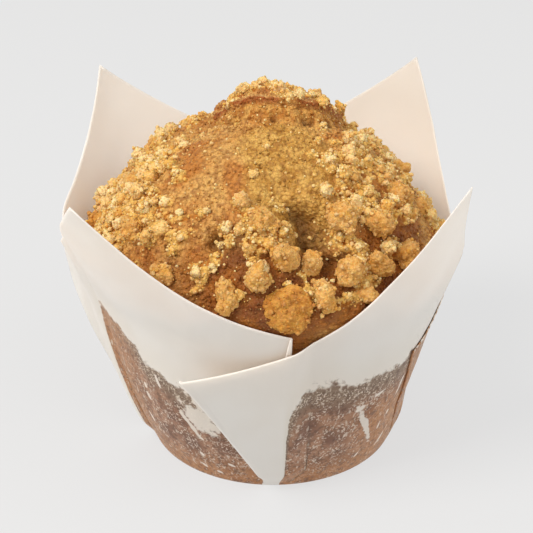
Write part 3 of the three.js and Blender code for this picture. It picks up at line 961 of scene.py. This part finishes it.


# %% [markdown]
# ## Splits
#
# A split is a valley that runs up the dome along a slanted line and wanders from side to
# side. Two valleys lie in one another: a wide shallow one whose walls are still crust, and
# a narrow deep one whose inside is darkened with painted shade.

# %% Splits
# Each split: azimuth at its low end, how that turns with each degree up, ends, width, depth.
SPLITS = [
    dict(azimuth=-69, slant=-0.57, low=24, high=54, width=3.4, depth=1.9),
    dict(azimuth=-68.5, slant=-0.30, low=25, high=47, width=3.2, depth=3.8),
    dict(azimuth=-107, slant=0, low=31, high=38, width=1.2, depth=2.6),
]
SPLIT_FADE = 4
CRACK_DEPTH = 2
# Each wave: height, width in mm, seed.
WANDER = [(2.2, 5.5, 21), (1.1, 1.8, 22)]
WIDTH_CHANGE = [(0.5, 3.0, 23)]


def split_fields(points, facing):
    """How deep the splits sink each point, and how much painted crack shade it takes."""
    elevation = np.degrees(np.arcsin(np.clip(facing[:, 2], -1, 1)))
    azimuth = np.degrees(np.arctan2(facing[:, 1], facing[:, 0]))
    level = np.linalg.norm(points[:, :2] - DOME_CENTRE, axis=1)
    wander = layered(points, WANDER)
    widening = 1 + layered(points, WIDTH_CHANGE)
    sunk, crack = np.zeros(len(points)), np.zeros(len(points))
    for split in SPLITS:
        middle = split["azimuth"] + split["slant"] * (elevation - split["low"])
        side = np.radians(turn_from(azimuth, middle)) * level + wander
        along = smooth(elevation, split["low"] - SPLIT_FADE, split["low"] + SPLIT_FADE)
        along = along * (1 - smooth(elevation, split["high"] - SPLIT_FADE, split["high"] + SPLIT_FADE))
        torn = along * ridge(side, 0, split["width"] * widening)
        sunk += split["depth"] * torn
        if split["depth"] > CRACK_DEPTH:
            crack = np.maximum(crack, torn)
    return sunk, crack


# %% [markdown]
# ## Pores and heaped crumble
#
# Gas bubbles that burst leave pores, most of them in the pale crumb. Crumble lies in clumps,
# so its cover is broken up by noise before it becomes a heap of rounded granules. All of
# this is a height above the smooth dome, in mm.

# %% Pores and heaped crumble
# Each wave: height, width in mm, seed. Cells have a width and a seed only.
SWELLS = [(0.70, 11, 41), (0.50, 4.2, 42), (0.28, 1.8, 43), (0.12, 0.8, 44)]
CLUMPS = [(0.62, 4.4, 52), (0.38, 1.9, 53)]
CLUMP_STEP = (0.46, 0.74)
SKIN_CELLS, SKIN_GRAIN = (1.2, 45), 0.22
GRAIN_CELLS = (1.3, 51)
HEAP_BASE, HEAP_GRAIN, HEAP_SWELL, HEAP_WAVE = 0.30, 0.75, 0.45, (3.0, 54)
PORE_CELLS, PORE_STEP, PORE_DEPTH = (2.1, 31), (0.42, 0.1), 0.7
SMALL_PORE_CELLS, SMALL_PORE_STEP, SMALL_PORE_DEPTH = (1.1, 33), (0.45, 0.1), 0.35
PORE_GROUPS, PORE_GAPS = (3.0, 32), (-0.25, 0.1)
PORES_ANYWHERE = 0.2
# How much painted shade a crack, a cave, a pore and a small pore take.
CRACK_DARK, CAVE_DARK, PORE_DARK, SMALL_PORE_DARK = 0.9, 0.9, 0.6, 0.7
# Crumbs and dust that lie even where there is no heap, and grains that burst crust loses.
STRAY_CRUMBS, STRAY_DUST, BURST_LOSS = 0.04, 0.16, 0.55


def dome_surface():
    """The finished points of the dome, and the named fields that go with them."""
    points, facing = dome_grid()
    plate, rim, golden, cave = lift_crown(points)
    cover = np.clip(COVER_START + total(COVER_PATCHES, facing), 0, 1)
    burst = np.clip(total(BURST_PATCHES, facing), 0, 1) * (1 - plate)
    sunk, crack = split_fields(points, facing)
    porous = np.clip(burst + PORES_ANYWHERE, 0, 1) * (1 - plate)
    pore = smooth(cells(points, *PORE_CELLS), *PORE_STEP) * porous
    pore *= smooth(bumps(points, *PORE_GROUPS), *PORE_GAPS)
    small_pore = smooth(cells(points, *SMALL_PORE_CELLS), *SMALL_PORE_STEP) * porous
    granule = granules(points, *GRAIN_CELLS)
    lay_share = smooth(cover + layered(points, CLUMPS), *CLUMP_STEP) * (1 - golden)
    swell = HEAP_SWELL * np.maximum(bumps(points, *HEAP_WAVE), 0)
    heap = lay_share * (HEAP_BASE + HEAP_GRAIN * granule + swell)
    relief = layered(points, SWELLS) + SKIN_GRAIN * granules(points, *SKIN_CELLS)
    relief += total(MOUNDS, facing)
    relief -= PORE_DEPTH * pore + SMALL_PORE_DEPTH * small_pore
    points = points + facing * (relief + heap * (1 - crack) - sunk)[:, None]
    points[:, 2] = np.minimum(points[:, 2], cake_top - CLEAR)
    closed = (1 - crack) * (1 - cave)
    # Painted shade for cracks, caves and pores.
    hollow = CRACK_DARK * crack + CAVE_DARK * cave + PORE_DARK * pore + SMALL_PORE_DARK * small_pore
    fields = dict(
        cover=np.clip(lay_share * closed + STRAY_CRUMBS, 0, 1),
        dusting=np.clip(lay_share + STRAY_DUST, 0, 1) * closed,
        bare=np.clip(1 - lay_share, 0, 1) * closed * (1 - BURST_LOSS * burst),
        # Darker crust low on the front: partly real browning, partly painted shade.
        brown=np.clip(total(BROWNING_AND_SHADE_PATCHES, facing), 0, 1),
        burst=burst, hollow=np.clip(hollow, 0, 1), plate=plate, rim=rim, golden=golden,
        granule=granule,
    )
    print("heaped on", round(float(lay_share.mean()), 3), "of the dome's points")
    return points, fields


# %% [markdown]
# ## The cake as one closed mesh
#
# Below the dome the cake fills its paper, a small clearance inside the wall. Where the dome
# would touch the paper it is held back by the same clearance, and crumbs are kept off that
# border. The rings of the foot and of the dome join to one closed skin, with a point at the
# top and one in the middle of the floor.

# %% The cake as one closed mesh
FOOT_ROWS = 10
FOOT_END = DOME_BASE_Z - 2.5
CRUMB_ROOM = (0.6, 2.2)
DUST_ROOM = (0.5, 1.1)


def ring_faces(ring_count, bottom_centre):
    """Quads between the rings, and triangles that close the top and the floor."""
    faces = []
    for ring in range(ring_count - 1):
        a, b = ring * CAKE_COLUMNS, (ring + 1) * CAKE_COLUMNS
        for i in range(CAKE_COLUMNS):
            after = (i + 1) % CAKE_COLUMNS
            faces.append((a + i, a + after, b + after, b + i))
    last, top = (ring_count - 1) * CAKE_COLUMNS, ring_count * CAKE_COLUMNS
    faces += [(last + i, last + (i + 1) % CAKE_COLUMNS, top) for i in range(CAKE_COLUMNS)]
    faces += [((i + 1) % CAKE_COLUMNS, i, bottom_centre) for i in range(CAKE_COLUMNS)]
    return faces


def cake_mesh():
    """The whole cake as a mesh object, with its fields."""
    points, fields = dome_surface()
    ring_azimuth = np.radians(CAKE_AZIMUTHS)
    foot = []
    for z in np.linspace(CLEAR, FOOT_END, FOOT_ROWS):
        radius = wall_radius(np.degrees(ring_azimuth), z) - CLEAR
        foot.append(np.stack([radius * np.cos(ring_azimuth), radius * np.sin(ring_azimuth),
                              z + 0 * radius], axis=1))
    everything = np.vstack([*foot, points])
    around = np.degrees(np.arctan2(everything[:, 1], everything[:, 0]))
    room = wall_radius(around, everything[:, 2]) - CLEAR
    reach = np.linalg.norm(everything[:, :2], axis=1)
    everything[:, :2] *= np.minimum(1, room / np.maximum(reach, TINY))[:, None]
    faces = ring_faces(FOOT_ROWS + DOME_ROWS, len(everything))
    below = FOOT_ROWS * CAKE_COLUMNS
    outside = {name: float(name == "brown") for name in fields}
    whole = {name: np.concatenate([np.full(below, outside[name]), values, [outside[name]]])
             for name, values in fields.items()}
    for name, limits in (("cover", CRUMB_ROOM), ("dusting", DUST_ROOM), ("bare", DUST_ROOM)):
        whole[name] *= np.append(smooth(room - reach, *limits), 0)
    piece = mesh_piece("muffin_crumb", np.vstack([everything, (0, 0, CLEAR)]), faces, **whole)
    print("cake faces:", len(faces))
    return piece


cake = cake_mesh()

# %% [markdown]
# ## Baked crust and crumb: their recipe
#
# The crust is batter browned by heat: sugar and milk protein turn red-brown, more on the
# bumps than in the hollows, and the surface is closed and slightly shiny. Where it burst,
# the crumb behind it is pale yellow, dull and full of pores, which are darkened with painted
# shade because little light comes back out of them. Cracks and caves get painted shade too.
# The thin layer of crumble that melted onto the crust is paler still.

# %% Baked crust and crumb: their recipe
CRUST_FIELDS = ("cover", "burst", "hollow", "plate", "granule", "rim", "golden", "brown")
CRUST_NOISES = dict(
    blotch=(6, 2), toast=(4, 2), freckle=(1.3, 2), crumb_blotch=(2.4, 2), crumb_hole=(0.9, 2),
    plate_blotch=(3.0, 2), skirt_blotch=(1.6, 2), grit=(0.4, 2),
)
CRUST_MASKS = dict(
    blotches=("blotch", 0.35, 0.65),
    toasting=("toast", 0.35, 0.65),
    # Darker crust low on the front: partly real browning, partly painted shade.
    browning_and_shade=("brown", 0.1, 0.8),
    freckles=("freckle", 0.50, 0.35, 0.0, 0.55),
    crumb_blotches=("crumb_blotch", 0.35, 0.65),
    # Painted shade in the pores of the burst crumb.
    crumb_hole_shade=("crumb_hole", 0.56, 0.70, 0.0, 0.6),
    plate_blotches=("plate_blotch", 0.35, 0.65),
    skirt_blotches=("skirt_blotch", 0.35, 0.65),
    # Crumble on the crust: paler on its grain tops as painted highlight, darker between them as painted
    # shade.
    strewn_painted_light=("granule", 0.15, 0.7),
    torn=("burst", 0.25, 0.7),
    strewn_share=("cover", 0.25, 0.7),
    # Painted shade between the blisters and a painted highlight on their tops.
    between=("pebble", 0.45, 0.75, 0.0, 0.5),
    painted_highlight_on_top=("pebble", 0.30, 0.05, 0.0, 0.3),
    # Painted shade in cracks, caves and pores.
    dark=("hollow", 0.15, 1.0, 0.0, 0.85),
    roughness=("cover", 0.2, 0.7, 0.55, 0.85),
)
CRUST_LAYERS = [
    ("crust", "blotches", "#c68036", "#e0ad60"),
    # The toasted colour goes on low on the front, as browning and painted shade.
    ("toasted", "toasting", "#783c0a", "#a56018"),
    ("crust", "browning_and_shade", "crust", "toasted"),
    ("crust", "freckles", "crust", "#8a4d1b"),
    ("crumb", "crumb_blotches", "#be8836", "#dfaf5a"),
    # Painted shade in the pores of the burst crumb.
    ("crumb", "crumb_hole_shade", "crumb", "#94621f"),
    ("lifted", "plate_blotches", "#b8702e", "#dcaa62"),
    # Painted highlight on the tops of the strewn grains and painted shade between them.
    ("strewn", "strewn_painted_light", "#bf782a", "#eaba62"),
    ("skirt", "skirt_blotches", "#b87426", "#d9a352"),
    ("colour", "torn", "crust", "crumb"),
    ("colour", "golden", "colour", "skirt"),
    ("colour", "plate", "colour", "lifted"),
    ("colour", "strewn_share", "colour", "strewn"),
    ("colour", "rim", "colour", "#a3561f"),
    # Painted shade between the blisters, then a painted highlight on their tops.
    ("colour", "between", "colour", "#8f5a24"),
    ("colour", "painted_highlight_on_top", "colour", "#edc27a"),
    # Painted shade in cracks, caves and pores.
    ("colour", "dark", "colour", "#75491a"),
]

# %% [markdown]
# ## Baked crust
#
# Close up, the skin of a muffin is a field of tiny blisters. A Voronoi texture gives them,
# both as a bump and as a slight change of colour: painted shade between the blisters and a
# painted highlight on their tops. Light goes a millimetre or so into crust, red further
# than blue, which softens small shadows and warms them.

# %% Baked crust
CRUST_PEBBLE = 0.75


def crust_finish():
    """Browned crust: dry, lightly glossy and blistered, with dull crumb where it burst."""
    material, tree, value = start_finish("browned_crust", CRUST_FIELDS, CRUST_NOISES)
    value["pebble"] = add(tree, "ShaderNodeTexVoronoi", {
        "Vector": value["place"], "Scale": 1 / (CRUST_PEBBLE * MM)},
        feature="F1").outputs["Distance"]
    lay(tree, value, CRUST_MASKS, CRUST_LAYERS)
    grit = add(tree, "ShaderNodeMath", [value["grit"], value["pebble"]],
               operation="SUBTRACT").outputs[0]
    pitted = add(tree, "ShaderNodeBump", {"Strength": 1.0, "Distance": 0.38 * MM, "Height": grit})
    surface = add(tree, "ShaderNodeBsdfPrincipled", {
        "Base Color": value["colour"],
        "Roughness": value["roughness"],
        "IOR": 1.45,
        "Specular IOR Level": 0.4,
        "Subsurface Weight": 0.12,
        "Subsurface Radius": (1.0, 0.6, 0.25),
        "Subsurface Scale": 0.8 * MM,
        "Normal": pitted.outputs[0],
    })
    add(tree, "ShaderNodeOutputMaterial", {"Surface": surface.outputs[0]})
    print("nodes of the crust:", len(tree.nodes))
    return material


cake.data.materials.append(crust_finish())

# %% [markdown]
# ## Butter crumble
#
# Streusel is flour, sugar and butter rubbed to crumbs: small floury grains that stick
# together in knobbly lumps, pale gold, and browner where they stand out. Painted highlight
# pales the grain tops of the large lumps, and painted shade darkens the gaps between grains.
# Each crumb carries a random tone from the step that strews it, so neighbours differ, and
# each large lump carries how far it was toasted.

# %% Butter crumble
CRUMBLE_PEBBLE = 0.55
CRUMBLE_NOISES = dict(patch=(5, 2), flour=(0.8, 2), toast_blotch=(1.1, 2), grit=(0.35, 2))
CRUMBLE_MASKS = dict(
    golden_patches=("patch", 0.45, 0.70, 0.0, 0.5),
    floury=("flour", 0.5, 0.75, 0.0, 0.45),
    toast_blotches=("toast_blotch", 0.35, 0.65),
    # Painted shade between the grains.
    between=("pebble", 0.50, 0.80, 0.0, 0.4),
)
CRUMBLE_LAYERS = [
    # Tone is random on strewn crumbs; on the large lumps it is painted highlight on the grain tops.
    ("colour", "tone", "#eab65d", "#fce1a6"),
    ("colour", "golden_patches", "colour", "#d8943e"),
    ("colour", "floury", "colour", "#fce4a8"),
    ("toasted", "toast_blotches", "#b4691c", "#d3933a"),
    ("colour", "toast", "colour", "toasted"),
    # Painted shade between the grains.
    ("colour", "between", "colour", "#c07c2e"),
]


def crumble_finish():
    """Butter crumble: floury and matt, with light going a little way into each grain."""
    material, tree, value = start_finish("butter_crumble", ("tone", "toast"), CRUMBLE_NOISES)
    value["pebble"] = add(tree, "ShaderNodeTexVoronoi", {
        "Vector": value["place"], "Scale": 1 / (CRUMBLE_PEBBLE * MM)},
        feature="F1").outputs["Distance"]
    lay(tree, value, CRUMBLE_MASKS, CRUMBLE_LAYERS)
    grit = add(tree, "ShaderNodeMath", [value["grit"], value["pebble"]],
               operation="SUBTRACT").outputs[0]
    floury = add(tree, "ShaderNodeBump", {"Strength": 0.9, "Distance": 0.26 * MM, "Height": grit})
    surface = add(tree, "ShaderNodeBsdfPrincipled", {
        "Base Color": value["colour"],
        "Roughness": 0.8,
        "IOR": 1.45,
        "Specular IOR Level": 0.2,
        "Subsurface Weight": 0.25,
        "Subsurface Radius": (1.0, 0.55, 0.2),
        "Subsurface Scale": 0.8 * MM,
        "Normal": floury.outputs[0],
    })
    add(tree, "ShaderNodeOutputMaterial", {"Surface": surface.outputs[0]})
    print("nodes of the crumble:", len(tree.nodes))
    return material


crumble = crumble_finish()

# %% [markdown]
# ## The large lumps
#
# Twenty-six lumps are big enough to be solids of their own in the model. Each finished lump
# starts as a copy of its solid, so its place and size are right, and is remeshed to an even
# skin. Then rounded cells a millimetre or so across swell out of it, which is what grains
# pressed together look like. A few lumps lay closest to the heat and are toasted and
# flatter, and one has sunk into the crust.

# %% The large lumps
LUMP_VOXEL = 0.32
WELD = 0.01
# Each wave: height, width in mm, and what its seed adds to the lump's number.
LUMP_GRAINS = [(0.55, 1.5, 0), (0.32, 0.75, 40)]
LUMP_SWELL = (0.95, 2.7)
# How much paler the swollen grains of a lump are: painted highlight.
LUMP_TOP_HIGHLIGHT = 0.5
LUMP_TOAST = 0.45
TOASTED = {1: 0.8, 23: 0.8, 6: 0.35}
FLATTENED_TOAST = 0.5
FLATTENED_SHARE = 0.5
LUMP_SUNK = 0.35
SUNK = {12: 1.1}


def even_skin(solid):
    """The points, outward normals and faces of a solid remeshed to even quads, in mm."""
    mesh = bmesh.new()
    mesh.from_mesh(solid.data)
    bmesh.ops.remove_doubles(mesh, verts=mesh.verts, dist=WELD * MM)
    copy = bpy.data.meshes.new(solid.name + "_copy")
    mesh.to_mesh(copy)
    mesh.free()
    rough = bpy.data.objects.new(solid.name + "_copy", copy)
    bpy.context.scene.collection.objects.link(rough)
    skin = rough.modifiers.new("even skin", "REMESH")
    skin.mode = "VOXEL"
    skin.voxel_size = LUMP_VOXEL * MM
    seen = rough.evaluated_get(bpy.context.evaluated_depsgraph_get())
    even = bpy.data.meshes.new_from_object(seen)
    bpy.data.objects.remove(rough)
    points = np.array([v.co for v in even.vertices]) / MM
    normals = np.array([v.normal for v in even.vertices])
    return points, normals, [tuple(f.vertices) for f in even.polygons]


def lump_from(node, number):
    """The finished lump of a solid."""
    points, normals, faces = even_skin(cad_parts[node])
    swell = sum(height * granules(points, width, number + seed)
                for height, width, seed in LUMP_GRAINS)
    toast = TOASTED.get(number, LUMP_TOAST)
    flat = FLATTENED_SHARE if toast > FLATTENED_TOAST else 1.0
    height, width = LUMP_SWELL
    shape = height * flat * bumps(points, width, number) - SUNK.get(number, LUMP_SUNK)
    points = points + normals * (flat * swell + shape)[:, None]
    middle = points.mean(axis=0) - (*DOME_CENTRE, DOME_BASE_Z)
    middle = middle[None, :] / np.linalg.norm(middle)
    points = points + middle * np.minimum(total(MOUNDS, middle), 0)
    # The grains that swell out get a paler tone: painted highlight.
    piece = mesh_piece(f"crumble_lump_{number:02d}", points, faces,
                       tone=np.clip(LUMP_TOP_HIGHLIGHT * swell, 0, 1), toast=np.full(len(points), toast))
    piece.data.materials.append(crumble)
    return piece


lump_nodes = sorted(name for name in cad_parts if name.startswith("streusel_lump_"))
lumps = {node: lump_from(node, i + 1) for i, node in enumerate(lump_nodes)}
print("lumps:", len(lumps), "faces:", sum(len(p.data.polygons) for p in lumps.values()))

# %% [markdown]
# ## Crumb shapes
#
# The rest is what repeats: thousands of crumbs. A few shapes are enough, because each crumb
# is turned and sized at random. A shape is a cube cut up, rounded to a ball and dented by
# noise, with only a few dozen faces, since thousands of copies are made.


# %% Crumb shapes
DENT_WAVES = 2.3
# Each family: name, how many shapes, cuts of the cube, roughness. No cuts is a 20-sided ball.
FAMILIES = [
    ("knobbly_crumb", 8, 2, 0.65),
    ("crumb_grain", 6, 1, 0.5),
    ("crumb_speck", 4, 0, 0.4),
]


def crumb_shape(name, cuts, roughness, seed):
    """A rough ball about 1 mm in radius."""
    shape = bmesh.new()
    if cuts:
        bmesh.ops.create_cube(shape, size=2)
        bmesh.ops.subdivide_edges(shape, edges=shape.edges, cuts=cuts, use_grid_fill=True)
    else:
        bmesh.ops.create_icosphere(shape, subdivisions=1, radius=1)
    for vertex in shape.verts:
        vertex.co.normalize()
        vertex.co *= 1 + roughness * noise.noise(vertex.co * DENT_WAVES + Vector((seed, 0, 0)))
        vertex.co *= MM
    bmesh.ops.recalc_face_normals(shape, faces=shape.faces)
    mesh = bpy.data.meshes.new(name)
    shape.to_mesh(mesh)
    shape.free()
    mesh.shade_smooth()
    return bpy.data.objects.new(name, mesh)


families = {}
for name, count, cuts, roughness in FAMILIES:
    families[name] = bpy.data.collections.new(name)
    for i in range(count):
        families[name].objects.link(crumb_shape(f"{name}_{i}", cuts, roughness, 10.0 * i + cuts))

# %% [markdown]
# ## The strewing tree
#
# One node tree strews all crumbs. It scatters points over a surface with a least spacing,
# thinned by a field of the mesh, and puts one of the crumb shapes on each, with a random
# turn and size. It lifts each crumb a share of its own size, and stores a random tone. It
# ends by making the instances real and giving them their material.

# %% The strewing tree
SIZE_SKEW = 1.6
TONE_SEED = 7
STREW_INPUTS = dict(
    Surface="Geometry", Shapes="Collection", Spacing="Float", Density="Float", Smallest="Float",
    Largest="Float", Lift="Float", Field="String", Seed="Int", Finish="Material",
)


def strewing_tree():
    """A geometry tree that covers a surface with crumbs."""
    tree = bpy.data.node_groups.new("strew_crumbs", "GeometryNodeTree")
    for name, kind in STREW_INPUTS.items():
        tree.interface.new_socket(name=name, in_out="INPUT", socket_type="NodeSocket" + kind)
    tree.interface.new_socket(name="Crumbs", in_out="OUTPUT", socket_type="NodeSocketGeometry")
    given = add(tree, "NodeGroupInput").outputs
    cover = add(tree, "GeometryNodeInputNamedAttribute", {"Name": given["Field"]},
                data_type="FLOAT").outputs[0]
    spread = add(tree, "GeometryNodeDistributePointsOnFaces", {
        "Mesh": given["Surface"], "Distance Min": given["Spacing"], "Density Max": given["Density"],
        "Density Factor": cover, "Seed": given["Seed"],
    }, distribute_method="POISSON")
    size = add(tree, "FunctionNodeRandomValue", {
        "Min": 0.0, "Max": 1.0, "Seed": given["Seed"]}, data_type="FLOAT").outputs[1]
    skewed = add(tree, "ShaderNodeMath", [size, SIZE_SKEW], operation="POWER").outputs[0]
    scale = add(tree, "ShaderNodeMapRange", {
        "Value": skewed, "To Min": given["Smallest"], "To Max": given["Largest"]}).outputs[0]
    rise = add(tree, "ShaderNodeMath", [scale, given["Lift"]], operation="MULTIPLY").outputs[0]
    away = add(tree, "ShaderNodeVectorMath", {
        0: spread.outputs["Normal"], "Scale": rise}, operation="SCALE").outputs[0]
    away = add(tree, "ShaderNodeVectorMath", {0: away, "Scale": MM}, operation="SCALE").outputs[0]
    placed = add(tree, "GeometryNodeSetPosition", {
        "Geometry": spread.outputs["Points"], "Offset": away}).outputs[0]
    shapes = add(tree, "GeometryNodeCollectionInfo", {
        "Collection": given["Shapes"], "Separate Children": True, "Reset Children": True,
    }).outputs[0]
    spin = add(tree, "FunctionNodeRandomValue", {
        "Min": (0, 0, 0), "Max": (math.tau,) * 3, "Seed": given["Seed"],
    }, data_type="FLOAT_VECTOR").outputs[0]
    strewn = add(tree, "GeometryNodeInstanceOnPoints", {
        "Points": placed, "Instance": shapes, "Pick Instance": True,
        "Rotation": spin, "Scale": scale}).outputs[0]
    tone = add(tree, "FunctionNodeRandomValue", {
        "Min": 0.0, "Max": 1.0, "Seed": TONE_SEED}, data_type="FLOAT").outputs[1]
    toned = add(tree, "GeometryNodeStoreNamedAttribute", {
        "Geometry": strewn, "Name": "tone", "Value": tone,
    }, data_type="FLOAT", domain="INSTANCE").outputs[0]
    real = add(tree, "GeometryNodeRealizeInstances", {"Geometry": toned}).outputs[0]
    finished = add(tree, "GeometryNodeSetMaterial", {
        "Geometry": real, "Material": given["Finish"]}).outputs[0]
    add(tree, "NodeGroupOutput", {"Crumbs": finished})
    print("nodes of the strewing tree:", len(tree.nodes))
    return tree


STREW = strewing_tree()

# %% [markdown]
# ## Strewing over a host
#
# The tree works as a modifier on a carrier, whose result is kept as a plain mesh. The host
# is the cake alone for the first crumbs. Small crumbs also settle on the larger ones, so
# their host is the cake joined with the knobbly crumbs and the lumps.


# %% Strewing over a host
def strew(name, host, **inputs):
    """Strews crumbs over a copy of a mesh and gives them back as one plain mesh object."""
    carrier = bpy.data.objects.new(name + "_carrier", host)
    bpy.context.scene.collection.objects.link(carrier)
    modifier = carrier.modifiers.new("strew", "NODES")
    modifier.node_group = STREW
    sockets = {item.name: item.identifier for item in STREW.interface.items_tree
               if item.in_out == "INPUT"}
    for label, value in inputs.items():
        modifier[sockets[label.capitalize()]] = value
    seen = carrier.evaluated_get(bpy.context.evaluated_depsgraph_get())
    result = bpy.data.meshes.new_from_object(seen)
    carrier.modifiers.remove(modifier)
    bpy.data.objects.remove(carrier)
    result.name = name
    piece = bpy.data.objects.new(name, result)
    bpy.context.scene.collection.objects.link(piece)
    result.calc_loop_triangles()
    print(name, "triangles:", len(result.loop_triangles))
    return piece


def joined(name, parts):
    """One mesh of several, each with how much of its surface crumbs and dust may cover."""
    together = bmesh.new()
    for mesh, cover in parts:
        start = len(together.verts)
        together.from_mesh(mesh)
        together.verts.ensure_lookup_table()
        for field in ("cover", "dusting"):
            layers = together.verts.layers.float
            layer = layers.get(field) or layers.new(field)
            if cover is not None:
                for vertex in together.verts[start:]:
                    vertex[layer] = cover
    host = bpy.data.meshes.new(name)
    together.to_mesh(host)
    together.free()
    return host


# %% [markdown]
# ## Grains of crust and knobbly crumbs
#
# Bare crust is not smooth: tiny grains of sugar and flour baked onto it, so it takes a fine
# strewing of its own material. Over it lie the knobbly crumbs, one to three millimetres
# across, where the cover is thick.

# %% Grains of crust and knobbly crumbs
crusty = strew("crust_grains", cake.data, shapes=families["crumb_speck"], field="bare",
               spacing=0.62 * MM, density=1.7e6, smallest=0.22, largest=0.45, lift=-0.1, seed=5,
               finish=cake.data.materials[0])
knobbly = strew("knobbly_crumbs", cake.data, shapes=families["knobbly_crumb"], field="cover",
                spacing=1.9 * MM, density=0.34e6, smallest=0.55, largest=1.45, lift=0.25, seed=3,
                finish=crumble)

# %% [markdown]
# ## Fine crumbs and specks
#
# Fine crumbs fill the gaps between the knobbly ones and stick to the lumps, which makes
# their outlines granular. Specks, like dust from the baker's fingers, lie nearly everywhere.

# %% Fine crumbs and specks
HEAP_COVER = 0.7
LUMP_COVER = 0.5

heaps = [(knobbly.data, HEAP_COVER), *[(piece.data, LUMP_COVER) for piece in lumps.values()]]
host = joined("heaped_host", [(cake.data, None), *heaps])
fine = strew("fine_crumbs", host, shapes=families["crumb_grain"], field="cover",
             spacing=0.80 * MM, density=0.80e6, smallest=0.26, largest=0.52, lift=0.2, seed=11,
             finish=crumble)
specky = strew("crumb_specks", host, shapes=families["crumb_speck"], field="dusting",
               spacing=0.45 * MM, density=1.9e6, smallest=0.13, largest=0.28, lift=0.2, seed=17,
               finish=crumble)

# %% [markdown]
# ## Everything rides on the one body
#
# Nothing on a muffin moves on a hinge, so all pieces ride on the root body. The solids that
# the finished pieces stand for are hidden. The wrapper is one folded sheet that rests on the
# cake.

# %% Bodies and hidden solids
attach(wrapper, "root")
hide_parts("tulip_wrapper")
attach(cake, "root")
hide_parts("muffin_cake")
for node, piece in lumps.items():
    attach(piece, "root")
    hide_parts(node)
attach(crusty, "root")
for piece in (knobbly, fine, specky):
    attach(piece, "root")
